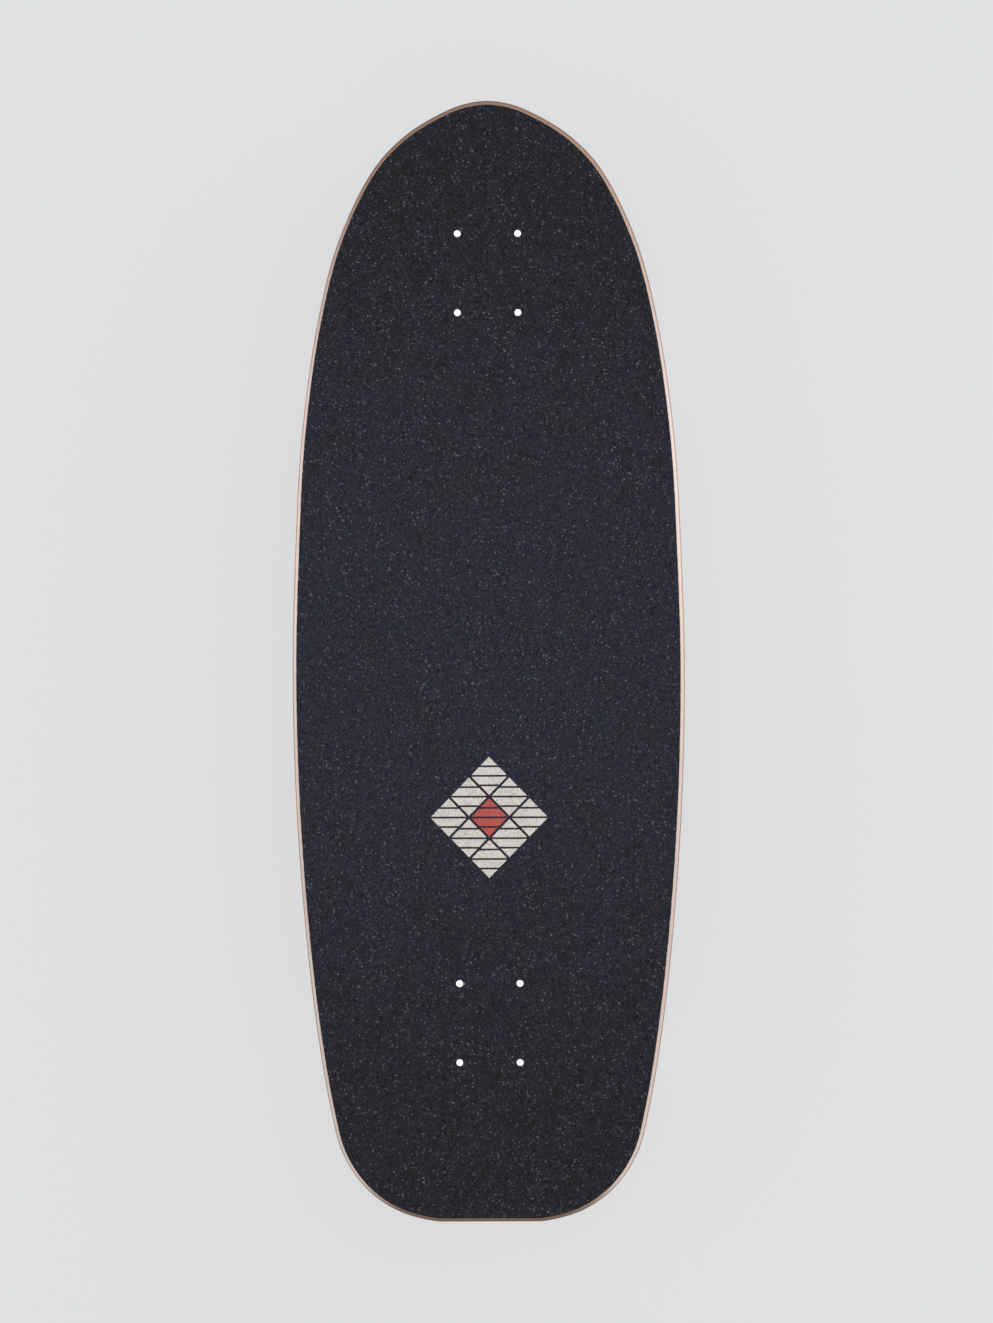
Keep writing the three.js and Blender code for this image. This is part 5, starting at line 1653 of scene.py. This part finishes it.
    def axle(self) -> None:
        """Makes the axle, its sleeves and its nuts."""
        radius, half = self.axle_radius, self.axle_half
        root = self.axle_nut_start - self.axle_thread_past
        near = threaded(radius, half, root, self.axle_pitch, self.axle_chamfer)
        shaft = turned([*((r, -h) for r, h in near), *reversed(near)])
        on_axle = self.place @ along(LINES.axle, ACROSS)
        self.fit("axle_threaded", "axle", shaft, SHAFT, self.axle_body, on_axle)
        bore, long, edge = radius + STACK.clearance, self.sleeve_length, 0.3
        race = self.sleeve_lip + self.bearing_width
        wide, thin = self.sleeve_radius, self.sleeve_radius - self.spacer_step
        for side, word in self.sides:
            sleeve = turned([(bore, 0, edge), (wide, 0, edge), (wide, race, edge), (thin, race + edge),
                             (thin, long - race - edge), (wide, long - race, edge), (wide, long, edge),
                             (bore, long, edge)])
            nut = hexagon(self.axle_nut_across_flats, self.axle_nut_height, radius + SNUG,
                          self.axle_nut_chamfer)
            for name, node, shape, finish, start in (
                ("inner_races", "bearing_sleeve", sleeve, RACE, self.sleeve_start),
                ("axle_lock_nut", "axle_nut", nut, ZINC, self.axle_nut_start),
            ):
                here = self.place @ along(self.on_axle(side * start), ACROSS * side)
                finished(f"{name}_{self.end}_{word}", shape, [finish], self.axle_body, here,
                         [f"{node}_{self.end}_{word}"])

    def wheel(self) -> Shape:
        """One wheel round its axis.

        Returns:
            A closed shape; its ground tread has material 1.
        """
        shelf = self.bearing_spacing / 2
        side = [*self.wheel_profile, (self.wheel_profile[-1][0], shelf), (self.flange_radius, shelf, 0.3)]
        other = [(corner[0], -corner[1], *corner[2:]) for corner in reversed(side)]
        shape = turned([*side, *other], self.wheel_steps)
        for face in shape.faces:
            middle = face.calc_center_median()
            if math.hypot(middle.x, middle.y) > STACK.wheel_radius - self.tread_depth:
                face.material_index = 1
        return shape

    def bearing(self) -> Shape:
        """One bearing's outer race and seal.

        Returns:
            Two closed shapes as one; the seal has material 1.
        """
        low = self.bearing_spacing / 2 + STACK.clearance / 2
        high = low + self.bearing_width
        inner, outer, bore = self.shield_radius, self.bearing_radius, self.bearing_bore
        race = turned([(inner, low, 0.2), (outer, low, 0.4), (outer, high, 0.4), (inner, high, 0.2)], FINE)
        back, face = low + self.shield_sink, high - self.shield_sink
        groove, rim = face - 0.25, inner + 0.1
        seal = turned([(bore, back), (rim, back), (rim, face, 0.2), (inner - 0.8, face, 0.2),
                       (inner - 1.0, groove, 0.1), (bore + 0.5, groove, 0.1), (bore, face, 0.1)], FINE)
        return together([race, inlaid(seal)])

    def wheels(self) -> None:
        """Makes the wheels with their bearings."""
        for side, word in self.sides:
            name = f"{self.end}_{word}"
            body = f"{name}_wheel"
            place = self.place @ along(self.on_axle(side * self.wheel_middle), ACROSS * side)
            finished(f"wheel_{name}_urethane", self.wheel(), [WHEEL, TREAD], body, place, [f"wheel_{name}"])
            for kind, turn in (("outer", 0.0), ("inner", math.pi)):
                here = place @ Matrix.Rotation(turn, 4, "X")
                finished(f"bearing_{name}_{kind}_sealed", self.bearing(), [RACE, SHIELD], body, here,
                         [f"bearing_{name}_{kind}"])

    def build(self) -> None:
        """Makes the truck's pieces."""
        self.fit("hanger_casting", "hanger", self.hanger(), CAST, self.axle_body, self.place)
        self.steering()
        self.axle()
        self.wheels()


# Camera, floor and light


@dataclass
class Studio:
    """A plain pale floor, soft light and a camera straight above, as in the photograph."""

    paper: str = "E0E2E4"
    floor_radius: float = 40.0  # in metres, as are all the studio's sizes
    camera_place: Point = (0.0053, -0.0006, 6.1186)
    roll: float = math.radians(-0.18)
    sensor: float = 36.0
    lens: float = 239.2
    sight: float = 100.0  # how far the camera sees
    glow: float = 0.82  # share of the floor's colour that its shadow can't darken
    world: float = 0.66
    lamps_at: Point = (0.0, 0.0, 0.1)  # where the soft boxes point
    lamps: tuple[tuple[str, Point, float, float], ...] = (
        ("top", (0.25, 0.35, 3.2), 2.6, 24.0), ("left", (-2.2, -0.6, 1.6), 1.6, 5.0),
        ("right", (2.4, 1.2, 1.9), 1.6, 16.0),
    )  # a large one above and one at each side: place, width and power

    def camera(self) -> None:
        """Sets the camera."""
        data = bpy.data.cameras.new("camera")
        data.sensor_width, data.lens, data.clip_end = self.sensor, self.lens, self.sight
        camera = placed("camera", data)
        camera.location = self.camera_place
        camera.rotation_euler = (0, 0, self.roll)
        bpy.context.scene.camera = camera

    def backdrop(self) -> None:
        """Makes the floor, which keeps a faint shadow, and the world."""
        material = bpy.data.materials.new("paper_backdrop")
        material.use_nodes = True
        tree = material.node_tree
        tree.nodes.clear()
        rays = add(tree, "LightPath")
        straight, mirrored = rays.outputs["Is Camera Ray"], rays.outputs["Is Glossy Ray"]
        seen = add(tree, "Math", {0: straight, 1: mirrored}, operation="MAXIMUM")
        any_seen = add(tree, "Math", {0: seen, 1: rays.outputs["Is Transmission Ray"]}, operation="MAXIMUM")
        share = add(tree, "Math", {0: any_seen, 1: self.glow}, operation="MULTIPLY")
        paper = add(tree, "BsdfDiffuse", {"Color": linear(self.paper)})
        light = add(tree, "Emission", {"Color": linear(self.paper), "Strength": 1.0})
        mix = add(tree, "MixShader", {0: share, 1: paper, 2: light})
        add(tree, "OutputMaterial", {"Surface": mix})
        shape = bmesh.new()
        bmesh.ops.create_circle(shape, cap_ends=True, segments=64, radius=self.floor_radius)
        floor = solid("floor", shape)
        floor.data.materials.append(material)
        world = bpy.data.worlds.new("studio")
        world.use_nodes = True
        tree = world.node_tree
        tree.nodes.clear()
        rays = add(tree, "LightPath")
        room = add(tree, "Background", {"Color": linear("FFFFFF"), "Strength": self.world})
        view = add(tree, "Background", {"Color": linear(self.paper), "Strength": 1.0})
        mix = add(tree, "MixShader", {0: rays.outputs["Is Camera Ray"], 1: room, 2: view})
        add(tree, "OutputWorld", {"Surface": mix})
        bpy.context.scene.world = world

    def light(self) -> None:
        """Hangs the soft boxes."""
        for name, spot, size, power in self.lamps:
            data = bpy.data.lights.new(f"softbox_{name}", "AREA")
            data.size, data.energy = size, power
            lamp = placed(data.name, data)
            lamp.location = spot
            lamp.visible_camera = False
            lamp.rotation_euler = (Vector(self.lamps_at) - Vector(spot)).to_track_quat("-Z", "Y").to_euler()

    def build(self) -> None:
        """Sets up the studio."""
        bpy.context.scene.view_settings.view_transform = "Standard"
        self.camera()
        self.backdrop()
        self.light()


def main() -> None:
    """Builds the studio and the board, one sub-assembly after another."""
    logging.basicConfig(level=logging.INFO, format="%(message)s")
    Studio().build()
    Deck().build()
    PrintedPanel().build()
    MountingBolts().build()
    swivel, rear = Swivel(), RearBase()
    swivel.build()
    rear.build()
    Truck("front", swivel.truck_place, "front_arm", ((-1, "left"), (1, "right"))).build()
    Truck("rear", rear.place, "deck", ((1, "left"), (-1, "right"))).build()


if __name__ == "__main__":
    main()
